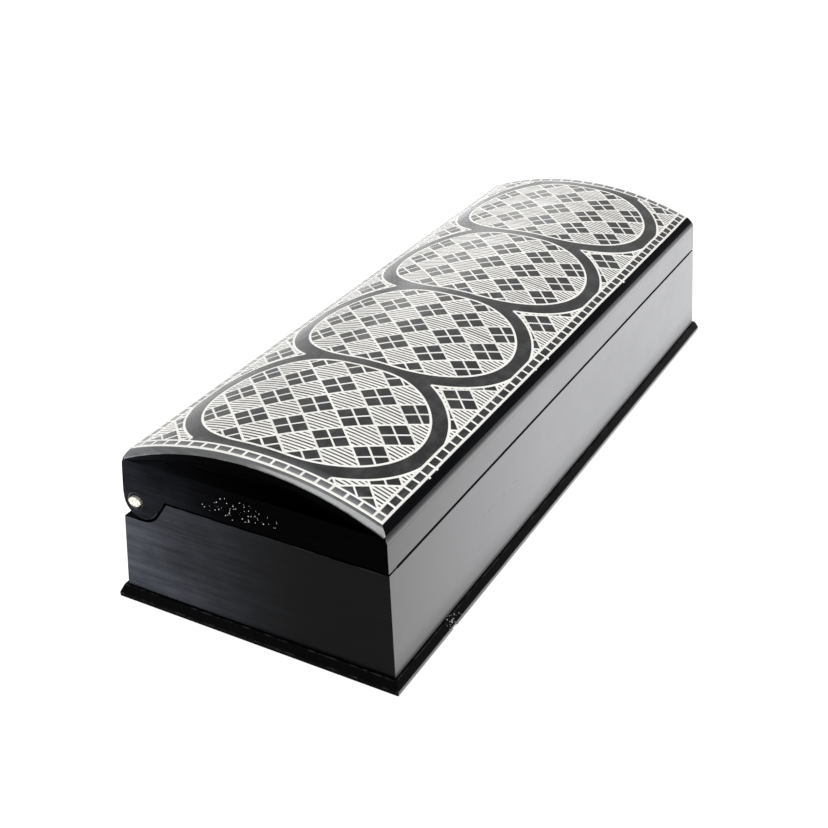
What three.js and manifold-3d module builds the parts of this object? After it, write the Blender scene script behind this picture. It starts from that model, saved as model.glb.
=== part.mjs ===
import * as THREE from 'three';
import { mergeVertices } from 'three/addons/utils/BufferGeometryUtils.js';
import Module from 'manifold-3d';

// A long ebony bangle box with a domed, hinged lid. The lid is inlaid with strips of white metal.
// Millimetres. +X runs along the box, -Y is the opening side, +Z is up.
// The origin is the centre of the base plate's underside.

const wasm = await Module();
wasm.setup();

// Body, measured outside at the parting line between body and lid
const bodyLength = 252;
const bodyWidth = 92;
const wallHeight = 33.8;
const wallBatter = 0.056;
const endBoardThickness = 4.5;
const sideBoardThickness = 6.5;

// Base plate
const baseThickness = 4.2;
const baseLedge = 2.2;
const baseLipHeight = 1.4;
const baseBevelRun = 1.3;

// Lid
const partingGap = 0.4;
const lidSideHeight = 11;
const domeRise = 9.6;
const crownStep = 2.25;
const endMarginRun = 1.8;
const sideMarginRun = 2.2;
const panelThickness = 4;
const panelSeatGap = 0.05;
const domeFacets = 12;

// Hinge: an ear on each lid end board turns on a headed pin driven into the back wall's end grain
const openAngle = 100;
const pinInset = 4.2;
const pinDrop = 2.5;
const pinRadius = 1.3;
const pinLength = 16;
const pinHeadRadius = 2.35;
const pinHeadThickness = 1.2;
const pinHeadWall = 0.85;
const pinHeadFlat = 1.4;
const pinHeadSetting = 0.1;
const pinTipLength = 2;
const pinBoreClearance = 0.15;
const headPocketClearance = 0.45;
const headPocketDepth = 1;
const earRadius = 6.6;
const earCentreDrop = 1.4;
const earFlankAngle = 56.7;
const earClearance = 0.8;
const earSideGap = 0.3;
const swingClearance = 0.3;
const roundSides = 24;

// Inlay, laid out on the unrolled dome: x along the box, s around the curve from the crown
const stripWidth = 0.7;
const stripHeight = 0.25;
const stripSeatGap = 0.05;
const inlayGap = 0.15;
const ladderEndInset = 2.4;
const ladderSideInset = 2.9;
const ladderWidth = 3.1;
const ladderCellsAlong = 53;
const ladderCellsAcross = 17;
const ovalCount = 4;
const ovalNeck = 3.7;
const ovalEndNeck = 3.5;
const bandWidth = 5.7;
const latticeLength = 13.45;
const latticeDepth = 13.9;
const ovalSides = 12;
const tailHeight = 1.6;
const cornerTrim = 4.5;

// Heights and places worked out from the sizes above
const partingZ = baseThickness + wallHeight;
const bodyTopZ = partingZ - partingGap / 2;
const lidBottomZ = partingZ + partingGap / 2;
const lidEdgeZ = partingZ + lidSideHeight;
const innerX = bodyLength / 2 - endBoardThickness;
const innerY = bodyWidth / 2 - sideBoardThickness;
const lidInnerX = innerX + earSideGap;
const lidEdgeX = outerX(lidEdgeZ);
const lidEdgeY = outerY(lidEdgeZ);
const endArcRadius = (lidEdgeY ** 2 + domeRise ** 2) / (2 * domeRise);
const domeCentreZ = lidEdgeZ + domeRise - endArcRadius;
const crownRadius = endArcRadius + crownStep;
const crownZ = domeCentreZ + crownRadius;
const frameTopRadius = crownRadius - panelThickness;
const marginY = lidEdgeY - sideMarginRun;
const marginZ = domeCentreZ + Math.sqrt(crownRadius ** 2 - marginY ** 2);
const pinZ = partingZ - pinDrop;
const pinY = outerY(pinZ) - pinInset;
const pinFaceX = outerX(pinZ);
const batterAngle = Math.atan(wallBatter);
const rollRadius = pinInset * Math.cos(batterAngle);
const reach = bodyLength;
const cutOvershoot = 1;

// Half the outside length and width of the battered walls at a height
function outerX(z) {
  return bodyLength / 2 + wallBatter * (partingZ - z);
}

function outerY(z) {
  return bodyWidth / 2 + wallBatter * (partingZ - z);
}

// Solids

function solid(geometry) {
  const bare = geometry.index ? geometry.toNonIndexed() : geometry.clone();
  bare.deleteAttribute('normal');
  bare.deleteAttribute('uv');
  const merged = mergeVertices(bare, 1e-5);
  return new wasm.Manifold(new wasm.Mesh({
    numProp: 3,
    vertProperties: new Float32Array(merged.attributes.position.array),
    triVerts: new Uint32Array(merged.index.array),
  }));
}

function box(low, high) {
  const size = high.map((value, i) => value - low[i]);
  const middle = high.map((value, i) => (value + low[i]) / 2);
  return solid(new THREE.BoxGeometry(...size).translate(...middle));
}

function extrude(points, depth, bevel = {}) {
  const shape = new THREE.Shape(points.map(([u, v]) => new THREE.Vector2(u, v)));
  return new THREE.ExtrudeGeometry(shape, { depth, bevelEnabled: false, curveSegments: 1, ...bevel });
}

// Points are (y, z) and the prism runs along X.
function prismX(points, x0, x1, bevel) {
  const axes = new THREE.Matrix4().makeBasis(
    new THREE.Vector3(0, 1, 0), new THREE.Vector3(0, 0, 1), new THREE.Vector3(1, 0, 0));
  return solid(extrude(points, x1 - x0, bevel).applyMatrix4(axes).translate(x0, 0, 0));
}

// Points are (x, z) and the prism runs along Y.
function prismY(points, y0, y1) {
  const axes = new THREE.Matrix4().makeBasis(
    new THREE.Vector3(1, 0, 0), new THREE.Vector3(0, 0, 1), new THREE.Vector3(0, -1, 0));
  return solid(extrude(points, y1 - y0).applyMatrix4(axes).translate(0, y1, 0));
}

// Points are (x, y) and the prism runs along Z.
function prismZ(points, z0, z1) {
  return solid(extrude(points, z1 - z0).translate(0, 0, z0));
}

function rodX(radius, x0, x1, y, z) {
  const rod = new THREE.CylinderGeometry(radius, radius, x1 - x0, roundSides);
  return solid(rod.rotateZ(Math.PI / 2).translate((x0 + x1) / 2, y, z));
}

function joined(parts) {
  return parts.reduce((whole, part) => whole.add(part));
}

function arc(cy, cz, radius, from, to, steps) {
  return Array.from({ length: steps + 1 }, (_, i) => {
    const angle = THREE.MathUtils.degToRad(from + (to - from) * i / steps);
    return [cy + radius * Math.cos(angle), cz + radius * Math.sin(angle)];
  });
}

// The space inside the four battered outer faces, from one height to another.
function outerBlock(z0, z1) {
  const across = [[-outerY(z0), z0], [outerY(z0), z0], [outerY(z1), z1], [-outerY(z1), z1]];
  const along = [[-outerX(z0), z0], [outerX(z0), z0], [outerX(z1), z1], [-outerX(z1), z1]];
  return prismX(across, -reach, reach).intersect(prismY(along, -reach, reach));
}

const bodyBlock = outerBlock(baseThickness, bodyTopZ);
const lidBlock = outerBlock(baseThickness, crownZ + cutOvershoot);

// Points on the dome's facets at a given radius, from front to back. The facets end at the
// sloping margins, and a number of facets beyond them can be added on both sides.
function domeLine(radius, beyond = 0) {
  const edge = THREE.MathUtils.radToDeg(Math.asin(marginY / crownRadius));
  const reachAngle = edge * (1 + 2 * beyond / domeFacets);
  return arc(0, domeCentreZ, radius, 90 + reachAngle, 90 - reachAngle, domeFacets + 2 * beyond);
}

// Base and body walls

function basePlate() {
  const lip = { x: outerX(baseThickness) + baseLedge, y: outerY(baseThickness) + baseLedge };
  const outline = (half) => [
    [-half, 0], [half, 0], [half, baseLipHeight], [half - baseBevelRun, baseThickness],
    [baseBevelRun - half, baseThickness], [-half, baseLipHeight],
  ];
  return prismX(outline(lip.y), -reach, reach).intersect(prismY(outline(lip.x), -reach, reach));
}

function bodyFrontWall() {
  return bodyBlock.intersect(box([-innerX, -reach, 0], [innerX, -innerY, reach]));
}

// The back wall's top is a half-round roll about the hinge axis.
function bodyBackWall() {
  const innerAngle = THREE.MathUtils.radToDeg(Math.acos((innerY - pinY) / rollRadius));
  const outerAngle = THREE.MathUtils.radToDeg(batterAngle);
  const profile = [
    [innerY, baseThickness],
    [outerY(baseThickness), baseThickness],
    ...arc(pinY, pinZ, rollRadius, outerAngle, innerAngle, roundSides / 2),
  ];
  const bore = pinRadius + pinBoreClearance;
  const boreDepth = innerX - pinFaceX + pinLength;
  return prismX(profile, -innerX, innerX)
    .subtract(rodX(bore, innerX - boreDepth, reach, pinY, pinZ))
    .subtract(rodX(bore, -reach, boreDepth - innerX, pinY, pinZ));
}

// Side is -1 for the left end and 1 for the right end.
function endSlab(side, inner, z0, z1) {
  const span = side < 0 ? [-reach, -inner] : [inner, reach];
  return box([span[0], -reach, z0], [span[1], reach, z1]);
}

// The ear's outline, grown by a clearance; it stops at topZ.
function earOutline(clearance, topZ, openBack) {
  const radius = earRadius + clearance;
  const cz = partingZ - earCentreDrop;
  const cy = outerY(cz) - earRadius;
  const flank = THREE.MathUtils.degToRad(earFlankAngle);
  const touch = [cy - radius * Math.sin(flank), cz - radius * Math.cos(flank)];
  const rise = topZ - touch[1];
  const start = [touch[0] - rise / Math.tan(flank), topZ];
  const round = arc(cy, cz, radius, 270 - earFlankAngle, openBack ? 270 : 360, roundSides / 2);
  const backZ = round[round.length - 1][1];
  return [start, ...round, [reach, backZ], [reach, topZ]];
}

function bodyEnd(side) {
  const notch = prismX(earOutline(earClearance, reach, true), -reach, reach);
  return bodyBlock.intersect(endSlab(side, innerX, 0, reach)).subtract(notch);
}

// Hinge pins

function hingePin() {
  const head = headPocketDepth - pinHeadSetting;
  const profile = [
    [0, -pinLength], [pinRadius, pinTipLength - pinLength], [pinRadius, -head], [pinHeadRadius, -head],
    [pinHeadRadius, pinHeadWall - head], [pinHeadFlat, pinHeadThickness - head],
    [0, pinHeadThickness - head],
  ];
  return new THREE.LatheGeometry(profile.map(([r, h]) => new THREE.Vector2(r, h)), roundSides);
}

// Lid

function lidFrame() {
  const line = domeLine(frameTopRadius, 1);
  return prismX([...line, [reach, lidBottomZ], [-reach, lidBottomZ]], -reach, reach).intersect(lidBlock);
}

const frame = lidFrame();

function lidFrontRail() {
  return frame.intersect(box([-lidInnerX, -reach, 0], [lidInnerX, -innerY, reach]));
}

// The back rail's underside is bevelled, so that it lies against the back wall when the lid is open.
function lidBackRail() {
  const angle = batterAngle + Math.PI + THREE.MathUtils.degToRad(openAngle);
  const distance = rollRadius + swingClearance;
  const undersideZ = (y) => pinZ - (distance + (y - pinY) * Math.cos(angle)) / Math.sin(angle);
  const above = [
    [innerY, undersideZ(innerY)], [bodyWidth, undersideZ(bodyWidth)], [bodyWidth, reach], [innerY, reach],
  ];
  return frame.intersect(prismX(above, -lidInnerX, lidInnerX));
}

function lidEnd(side) {
  const ear = prismX(earOutline(0, lidEdgeZ - panelThickness, false), -reach, reach).intersect(lidBlock);
  const pocketFloor = pinFaceX - headPocketDepth;
  const bore = rodX(pinRadius + pinBoreClearance, innerX - cutOvershoot, reach, pinY, pinZ);
  const pocket = rodX(pinHeadRadius + headPocketClearance, pocketFloor, reach, pinY, pinZ);
  const holes = bore.add(pocket);
  const sideHoles = side < 0 ? holes.mirror([1, 0, 0]) : holes;
  return frame.add(ear).intersect(endSlab(side, lidInnerX, 0, reach)).subtract(sideHoles);
}

// The side margins are planes and run to the ends. The end margins slope down to an arc that meets
// the lid's corners.
function lidTop() {
  const slope = (marginZ - lidEdgeZ) / sideMarginRun;
  const overhangY = bodyWidth / 2;
  const overhangZ = marginZ - (overhangY - marginY) * slope;
  const section = [
    [-overhangY, 0], [-overhangY, overhangZ],
    ...domeLine(crownRadius),
    [overhangY, overhangZ], [overhangY, 0],
  ];
  const arch = domeLine(crownRadius, 1);
  const archY = arch[arch.length - 1][0];
  const margin = {
    bevelEnabled: true,
    bevelThickness: endMarginRun,
    bevelSize: crownStep,
    bevelOffset: -crownStep,
    bevelSegments: 1,
  };
  const half = lidEdgeX - endMarginRun;
  const sloped = prismX([[-archY, 0], ...arch, [archY, 0]], -half, half, margin);
  const under = [...domeLine(frameTopRadius + panelSeatGap, 1), [reach, 0], [-reach, 0]];
  return prismX(section, -reach, reach)
    .intersect(sloped)
    .intersect(lidBlock)
    .subtract(prismX(under, -reach, reach));
}

// Inlay

const ladderX = lidEdgeX - ladderEndInset;
const ladderS = crownRadius * Math.asin(lidEdgeY / crownRadius) - ladderSideInset;
const fieldX = ladderX - ladderWidth;
const fieldS = ladderS - ladderWidth;

// The rings share the field's length, with a neck of dark band between them, and the dark bands
// round them end at the ladder's inner lines.
const ringRadius = fieldX / ovalCount - (ovalEndNeck + (ovalCount - 1) * ovalNeck / 2) / ovalCount;
const ovalRadius = ringRadius - stripWidth;
const ovalPitch = 2 * ringRadius + ovalNeck;
const bandRadius = ovalRadius + bandWidth;
const ovalStraight = fieldS + stripWidth / 2 - bandRadius;
const patchInset = stripWidth / 2 + inlayGap;
const tailHalfWidth = Math.sqrt(bandRadius ** 2 - (fieldS - ovalStraight - tailHeight) ** 2);

// A thin skin just above the dome's facets, from which every strip is cut.
function inlaySkin() {
  const low = domeLine(crownRadius + stripSeatGap);
  const high = domeLine(crownRadius + stripSeatGap + stripHeight);
  return prismX([...high, ...low.reverse()], -lidEdgeX, lidEdgeX);
}

const skin = inlaySkin();

function plan([x, s]) {
  return [x, crownRadius * Math.sin(s / crownRadius)];
}

function column(points) {
  return prismZ(points.map(plan), partingZ, reach);
}

function strip([x0, s0], [x1, s1], width = stripWidth) {
  const length = Math.hypot(x1 - x0, s1 - s0);
  const across = [-(s1 - s0) / length * width / 2, (x1 - x0) / length * width / 2];
  return column([
    [x0 - across[0], s0 - across[1]], [x1 - across[0], s1 - across[1]],
    [x1 + across[0], s1 + across[1]], [x0 + across[0], s0 + across[1]],
  ]);
}

function rectangle(x0, s0, x1, s1) {
  return column([[x0, s0], [x1, s0], [x1, s1], [x0, s1]]);
}

// Two half circles joined by straight sides, standing across the box.
function oval(x, radius) {
  return column([
    ...arc(x, ovalStraight, radius, 0, 180, ovalSides),
    ...arc(x, -ovalStraight, radius, 180, 360, ovalSides),
  ]);
}

// Lattice strips whose diamonds are centred on a point, wide enough to cover a half span.
function lattice(x, s, halfX, halfS) {
  const count = Math.ceil(halfX / latticeLength + halfS / latticeDepth);
  const strips = [];
  for (let i = -count; i < count; i += 1) {
    const offset = (i + 0.5) * latticeLength;
    for (const lean of [1, -1]) {
      const end = (t) => [x + offset + lean * t * latticeLength, s + t * latticeDepth];
      strips.push(strip(end(-halfS / latticeDepth), end(halfS / latticeDepth)));
    }
  }
  return joined(strips);
}

function ladder() {
  const w = stripWidth / 2;
  const frames = [
    rectangle(-ladderX - w, -ladderS - w, ladderX + w, ladderS + w)
      .subtract(rectangle(w - ladderX, w - ladderS, ladderX - w, ladderS - w)),
    rectangle(-fieldX - w, -fieldS - w, fieldX + w, fieldS + w)
      .subtract(rectangle(w - fieldX, w - fieldS, fieldX - w, fieldS - w)),
  ];
  const rungs = [];
  for (let i = 0; i <= ladderCellsAlong; i += 1) {
    const x = -fieldX + 2 * fieldX * i / ladderCellsAlong;
    rungs.push(strip([x, -ladderS], [x, -fieldS]), strip([x, fieldS], [x, ladderS]));
  }
  for (let i = 0; i <= ladderCellsAcross; i += 1) {
    const s = -fieldS + 2 * fieldS * i / ladderCellsAcross;
    rungs.push(strip([-ladderX, s], [-fieldX, s]), strip([fieldX, s], [ladderX, s]));
  }
  return joined([...frames, ...rungs]).intersect(skin);
}

function ovalNet() {
  const inside = oval(0, ovalRadius);
  const ring = oval(0, ringRadius).subtract(inside);
  const middle = oval(0, ovalRadius + stripWidth / 2);
  const mesh = lattice(0, 0, ovalRadius, ovalRadius + ovalStraight).intersect(middle);
  return ring.add(mesh).intersect(skin);
}

// A patch of lattice with a strip all round it.
function patch(region, core, net) {
  return region.subtract(core).add(net.intersect(region)).intersect(skin);
}

// The three-sided patch between two ovals and the front ladder.
function sideSpandrel() {
  const low = patchInset - fieldS;
  const region = (inset) => {
    const half = ovalPitch / 2 - tailHalfWidth - inset;
    const shape = rectangle(-half, low + inset, half, -ovalStraight);
    return shape
      .subtract(oval(-ovalPitch / 2, bandRadius + inset))
      .subtract(oval(ovalPitch / 2, bandRadius + inset));
  };
  const net = lattice(0, latticeDepth / 2 - fieldS, ovalPitch / 2, bandRadius);
  return patch(region(0), region(stripWidth), net);
}

// The patch in a corner of the ladder; hand is 1 for the left front corner and -1 for the left back one.
function cornerSpandrel(hand) {
  const centre = -(ovalCount - 1) / 2 * ovalPitch;
  const tip = Math.sqrt(bandRadius ** 2 - (centre + fieldX - patchInset) ** 2);
  const region = (inset) => {
    const x0 = patchInset - fieldX + inset;
    const x1 = centre - tailHalfWidth - inset;
    const s0 = -hand * (fieldS - patchInset - inset);
    const s1 = -hand * (ovalStraight + tip + cornerTrim + inset);
    const span = [Math.min(s0, s1), Math.max(s0, s1)];
    return rectangle(x0, span[0], x1, span[1]).subtract(oval(centre, bandRadius + inset));
  };
  const netS = -hand * (fieldS - latticeDepth / 2);
  const net = lattice(-fieldX, netS, bandRadius, bandRadius);
  return patch(region(0), region(stripWidth), net);
}

// Scene graph

const ebony = { color: 0x17161a, roughness: 0.38, metalness: 0 };
const whiteMetal = { color: 0xe4e2dc, roughness: 0.35, metalness: 1 };
const pinMetal = { color: 0xcfcabd, roughness: 0.5, metalness: 1 };

function geometryOf(shape) {
  const mesh = shape.getMesh();
  const geometry = new THREE.BufferGeometry();
  geometry.setAttribute('position', new THREE.BufferAttribute(new Float32Array(mesh.vertProperties), 3));
  geometry.setIndex(new THREE.BufferAttribute(new Uint32Array(mesh.triVerts), 1));
  geometry.computeVertexNormals();
  return geometry;
}

function piece(name, shape, finish) {
  const geometry = shape.isBufferGeometry ? shape : geometryOf(shape);
  const mesh = new THREE.Mesh(geometry, new THREE.MeshStandardMaterial(finish));
  mesh.name = name;
  return mesh;
}

const body = new THREE.Group();
body.add(
  piece('base_plate', basePlate(), ebony),
  piece('body_front_wall', bodyFrontWall(), ebony),
  piece('body_back_wall', bodyBackWall(), ebony),
  piece('body_left_end', bodyEnd(-1), ebony),
  piece('body_right_end', bodyEnd(1), ebony),
);
for (const [name, side] of [['left_hinge_pin', -1], ['right_hinge_pin', 1]]) {
  const pin = piece(name, hingePin(), pinMetal);
  pin.position.set(side * pinFaceX, pinY, pinZ);
  pin.rotation.z = -side * Math.PI / 2;
  body.add(pin);
}

const lid = new THREE.Group();
lid.add(
  piece('lid_front_rail', lidFrontRail(), ebony),
  piece('lid_back_rail', lidBackRail(), ebony),
  piece('lid_left_end', lidEnd(-1), ebony),
  piece('lid_right_end', lidEnd(1), ebony),
  piece('lid_top', lidTop(), ebony),
  piece('inlay_ladder', ladder(), whiteMetal),
);
const net = geometryOf(ovalNet());
for (let i = 0; i < ovalCount; i += 1) {
  const copy = piece(`inlay_oval_${i + 1}`, net.clone(), whiteMetal);
  copy.position.x = (i - (ovalCount - 1) / 2) * ovalPitch;
  lid.add(copy);
}
const spandrel = geometryOf(sideSpandrel());
for (let i = 0; i < ovalCount - 1; i += 1) {
  const x = (i - (ovalCount - 2) / 2) * ovalPitch;
  const front = piece(`inlay_front_spandrel_${i + 1}`, spandrel.clone(), whiteMetal);
  front.position.x = x;
  const back = piece(`inlay_back_spandrel_${i + 1}`, spandrel.clone(), whiteMetal);
  back.position.x = x;
  back.rotation.z = Math.PI;
  lid.add(front, back);
}
const corners = [
  ['left_front', 1, 0], ['left_back', -1, 0], ['right_back', 1, Math.PI], ['right_front', -1, Math.PI],
];
for (const [name, hand, turn] of corners) {
  const corner = piece(`inlay_corner_${name}`, cornerSpandrel(hand), whiteMetal);
  corner.rotation.z = turn;
  lid.add(corner);
}

const bangleBox = new THREE.Group();
bangleBox.add(body, lid);

export default bangleBox;
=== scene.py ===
"""The looks of a long ebony bangle box with a domed, hinged lid inlaid with white metal.

Pieces are shaped in millimetres and brought to metres when they are done. +X runs along the box,
-Y is the opening side and +Z is up. The dome's inlay is laid out unrolled, with x along the box and
s around the curve from the crown, and then bent onto the dome. Materials work in metres.
"""

import logging
import math
import random
from collections.abc import Callable
from dataclasses import dataclass, replace
from enum import Enum, IntEnum

import bmesh
import bpy
from mathutils import Matrix, Vector, noise

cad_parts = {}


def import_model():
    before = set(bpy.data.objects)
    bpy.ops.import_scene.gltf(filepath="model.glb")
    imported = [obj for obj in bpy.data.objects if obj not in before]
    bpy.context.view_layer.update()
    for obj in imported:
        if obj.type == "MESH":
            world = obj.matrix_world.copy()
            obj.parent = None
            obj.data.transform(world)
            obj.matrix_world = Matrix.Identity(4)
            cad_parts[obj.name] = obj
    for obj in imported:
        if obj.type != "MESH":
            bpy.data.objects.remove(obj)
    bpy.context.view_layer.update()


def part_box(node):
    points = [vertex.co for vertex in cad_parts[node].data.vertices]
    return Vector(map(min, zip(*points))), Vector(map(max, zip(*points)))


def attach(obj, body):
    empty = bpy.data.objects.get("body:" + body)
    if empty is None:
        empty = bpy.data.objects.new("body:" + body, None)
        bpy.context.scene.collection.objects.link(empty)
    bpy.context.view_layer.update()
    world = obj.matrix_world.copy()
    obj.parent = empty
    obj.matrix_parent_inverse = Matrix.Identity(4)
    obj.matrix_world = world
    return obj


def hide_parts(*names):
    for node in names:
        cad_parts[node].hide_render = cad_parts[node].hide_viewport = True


Pair = tuple[float, float]
Point = tuple[float, float, float]
Socket = bpy.types.NodeSocket
Test = Callable[[Vector], bool]
Area = Callable[[float, float], bool]

METRES_PER_MM = 0.001
MERGE_DISTANCE = 1e-4
CUT_DISTANCE = 1e-5
SHARP_ANGLE = math.radians(35)
ALONG_X = Matrix.Rotation(math.pi / 2, 4, "Y")
NOISE_OFFSETS = (0.0, 31.7, 64.3)
WEAR = "wear"
TONE = "tone"
EVERYWHERE = (-0.2, -0.15)

# How far a part of a normal must reach for a face to count as facing that way.
FACING = 0.95
END_FACING = 0.9
TOP_SIDE = 0.85
TOP_SIDE_MARGIN = 0.55
TOP_END_MARGIN = 0.03
TOP_UNDERSIDE = 0.1
ROLL_BACK = 0.3

log = logging.getLogger("bangle_box")


class Grain(Enum):
    """Which way a board's grain runs."""

    ALONG = (1.0, 0.0, 0.0)
    ACROSS = (0.0, 1.0, 0.0)


class Join(Enum):
    """What is done with a tool's solid."""

    ADD = "UNION"
    CUT = "DIFFERENCE"
    TRIM = "INTERSECT"


class Named(Enum):
    """Options whose names stand in the pieces' names."""

    @property
    def word(self) -> str:
        """The option's name in small letters."""
        return self.name.lower()


class Side(Named):
    """The two ends of the box."""

    LEFT = -1
    RIGHT = 1

    def span(self, near: float, far: float) -> Pair:
        """Gives a stretch along X at this end, the lower place first."""
        return tuple(sorted((self.value * near, self.value * far)))


class Face(Named):
    """The two long sides of the box."""

    FRONT = -1
    BACK = 1


class TopPart(IntEnum):
    """The parts of the domed top, numbered as its materials are."""

    DOME = 0
    SIDE = 1
    END = 2
    SIDE_MARGIN = 3
    END_MARGIN = 4
    UNDERSIDE = 5

    @classmethod
    def facing(cls, normal: Vector) -> "TopPart":
        """Tells a face's part from the way it faces.

        Args:
            normal: the face's normal.

        Returns:
            The part.
        """
        if normal.z < -TOP_UNDERSIDE:
            return cls.UNDERSIDE
        if abs(normal.x) > FACING:
            return cls.END
        if abs(normal.y) > TOP_SIDE:
            return cls.SIDE
        if abs(normal.x) > TOP_END_MARGIN:
            return cls.END_MARGIN
        return cls.SIDE_MARGIN if normal.y < -TOP_SIDE_MARGIN else cls.DOME


def frame_box(node: str) -> tuple[Vector, Vector]:
    """Gives the lowest and highest corners of a frame node's box in millimetres."""
    low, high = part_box(node)
    return low / METRES_PER_MM, high / METRES_PER_MM


def drift(place: Vector) -> Vector:
    """Gives a smooth noise, from -1 to 1 in each part, that is the same in every run."""
    return Vector([noise.noise(place + Vector((far, far, far))) for far in NOISE_OFFSETS])


def anywhere(_: Vector) -> bool:
    """Says yes everywhere."""
    return True


def only(items: list, kind: type) -> list:
    """Picks the mesh elements of one kind."""
    return [item for item in items if isinstance(item, kind)]


def grow(bm: bmesh.types.BMesh, faces: list, shift: Point) -> list:
    """Extrudes faces.

    Args:
        bm: the mesh.
        faces: the faces.
        shift: how far they are moved.

    Returns:
        The new vertices, edges and faces.
    """
    grown = bmesh.ops.extrude_face_region(bm, geom=faces)["geom"]
    bmesh.ops.translate(bm, vec=shift, verts=only(grown, bmesh.types.BMVert))
    return grown


def round_off(
    bm: bmesh.types.BMesh, edges: list, width: float, segments: int, clamp: bool = True
) -> dict:
    """Rounds edges.

    Args:
        bm: the mesh.
        edges: the edges.
        width: how far the rounding reaches on each face.
        segments: the number of faces across the rounding.
        clamp: whether the rounding shrinks where it has no room.

    Returns:
        What the operator made.
    """
    return bmesh.ops.bevel(
        bm, geom=edges, offset=width, offset_type="OFFSET", segments=segments, profile=0.5,
        affect="EDGES", clamp_overlap=clamp, material=-1,
    )


@dataclass(frozen=True)
class BoxSizes:
    """The box's main sizes in millimetres, most of them read from the frame."""

    half_length: float
    half_width: float
    parting: float
    base_top: float
    body_top: float
    lid_bottom: float
    inner_x: float
    inner_y: float
    lid_inner_x: float
    batter: float = 0.056
    lid_side: float = 11.0
    dome_rise: float = 9.6
    crown_step: float = 2.25
    end_margin: float = 1.8
    side_margin: float = 2.2
    panel: float = 4.0
    shadow_gap: float = 0.15
    polish_over: float = 0.15

    @classmethod
    def from_frame(cls) -> "BoxSizes":
        """Reads the sizes from the frame's boxes.

        Returns:
            The sizes.
        """
        _, base_high = frame_box("base_plate")
        end_low, end_high = frame_box("body_left_end")
        _, wall_high = frame_box("body_front_wall")
        rail_low, rail_high = frame_box("lid_front_rail")
        parting = (end_high.z + rail_low.z) / 2
        lean = cls.batter * (parting - base_high.z)
        return cls(
            half_length=-end_low.x - lean,
            half_width=end_high.y - lean,
            parting=parting,
            base_top=base_high.z,
            body_top=end_high.z,
            lid_bottom=rail_low.z,
            inner_x=-end_high.x,
            inner_y=-wall_high.y,
            lid_inner_x=rail_high.x,
        )

    def outer_x(self, z: float) -> float:
        """Half the outside length at a height."""
        return self.half_length + self.batter * (self.parting - z)

    def outer_y(self, z: float) -> float:
        """Half the outside width at a height."""
        return self.half_width + self.batter * (self.parting - z)

    @property
    def lid_edge(self) -> float:
        """The height where the lid's upright sides end."""
        return self.parting + self.lid_side

    @property
    def end_arc_radius(self) -> float:
        """The radius of the arc along the top of each lid end."""
        half = self.outer_y(self.lid_edge)
        return (half**2 + self.dome_rise**2) / (2 * self.dome_rise)

    @property
    def dome_radius(self) -> float:
        """The dome's radius."""
        return self.end_arc_radius + self.crown_step

    @property
    def dome_centre(self) -> float:
        """The height of the dome's axis."""
        return self.lid_edge + self.dome_rise - self.end_arc_radius

    @property
    def margin_y(self) -> float:
        """Half the dome's width between its sloping side margins."""
        return self.outer_y(self.lid_edge) - self.side_margin


class Outline:
    """A closed outline in the YZ plane, walked point by point."""

    def __init__(self, y: float, z: float) -> None:
        """Starts the walk at a point."""
        self.bm = bmesh.new()
        self.first = self.last = self.bm.verts.new((0, y, z))

    def line(self, y: float, z: float) -> "Outline":
        """Walks straight to a point.

        Args:
            y: the point's y.
            z: the point's z.

        Returns:
            The outline.
        """
        self.last = bmesh.ops.extrude_vert_indiv(self.bm, verts=[self.last])["verts"][0]
        self.last.co = (0, y, z)
        return self

    def arc(self, centre: Pair, degrees: float, steps: int) -> "Outline":
        """Walks along an arc.

        Args:
            centre: the arc's centre, as y and z.
            degrees: the turn, counterclockwise as seen from +X.
            steps: the number of straight steps.

        Returns:
            The outline.
        """
        turned = bmesh.ops.spin(
            self.bm, geom=[self.last], cent=(0, *centre), axis=(1, 0, 0),
            angle=math.radians(degrees), steps=steps, use_duplicate=False,
        )
        self.last = turned["geom_last"][0]
        return self

    def board(self, x0: float, x1: float) -> "Workpiece":
        """Closes the outline and makes it a board.

        Args:
            x0: where the board starts.
            x1: where it ends.

        Returns:
            The board.
        """
        bm = self.bm
        bmesh.ops.contextual_create(bm, geom=[self.last, self.first])
        bmesh.ops.edgeloop_fill(bm, edges=bm.edges[:])
        bmesh.ops.translate(bm, vec=(x0, 0, 0), verts=bm.verts)
        grow(bm, bm.faces[:], (x1 - x0, 0, 0))
        bmesh.ops.recalc_face_normals(bm, faces=bm.faces)
        return Workpiece(bm)


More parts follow.
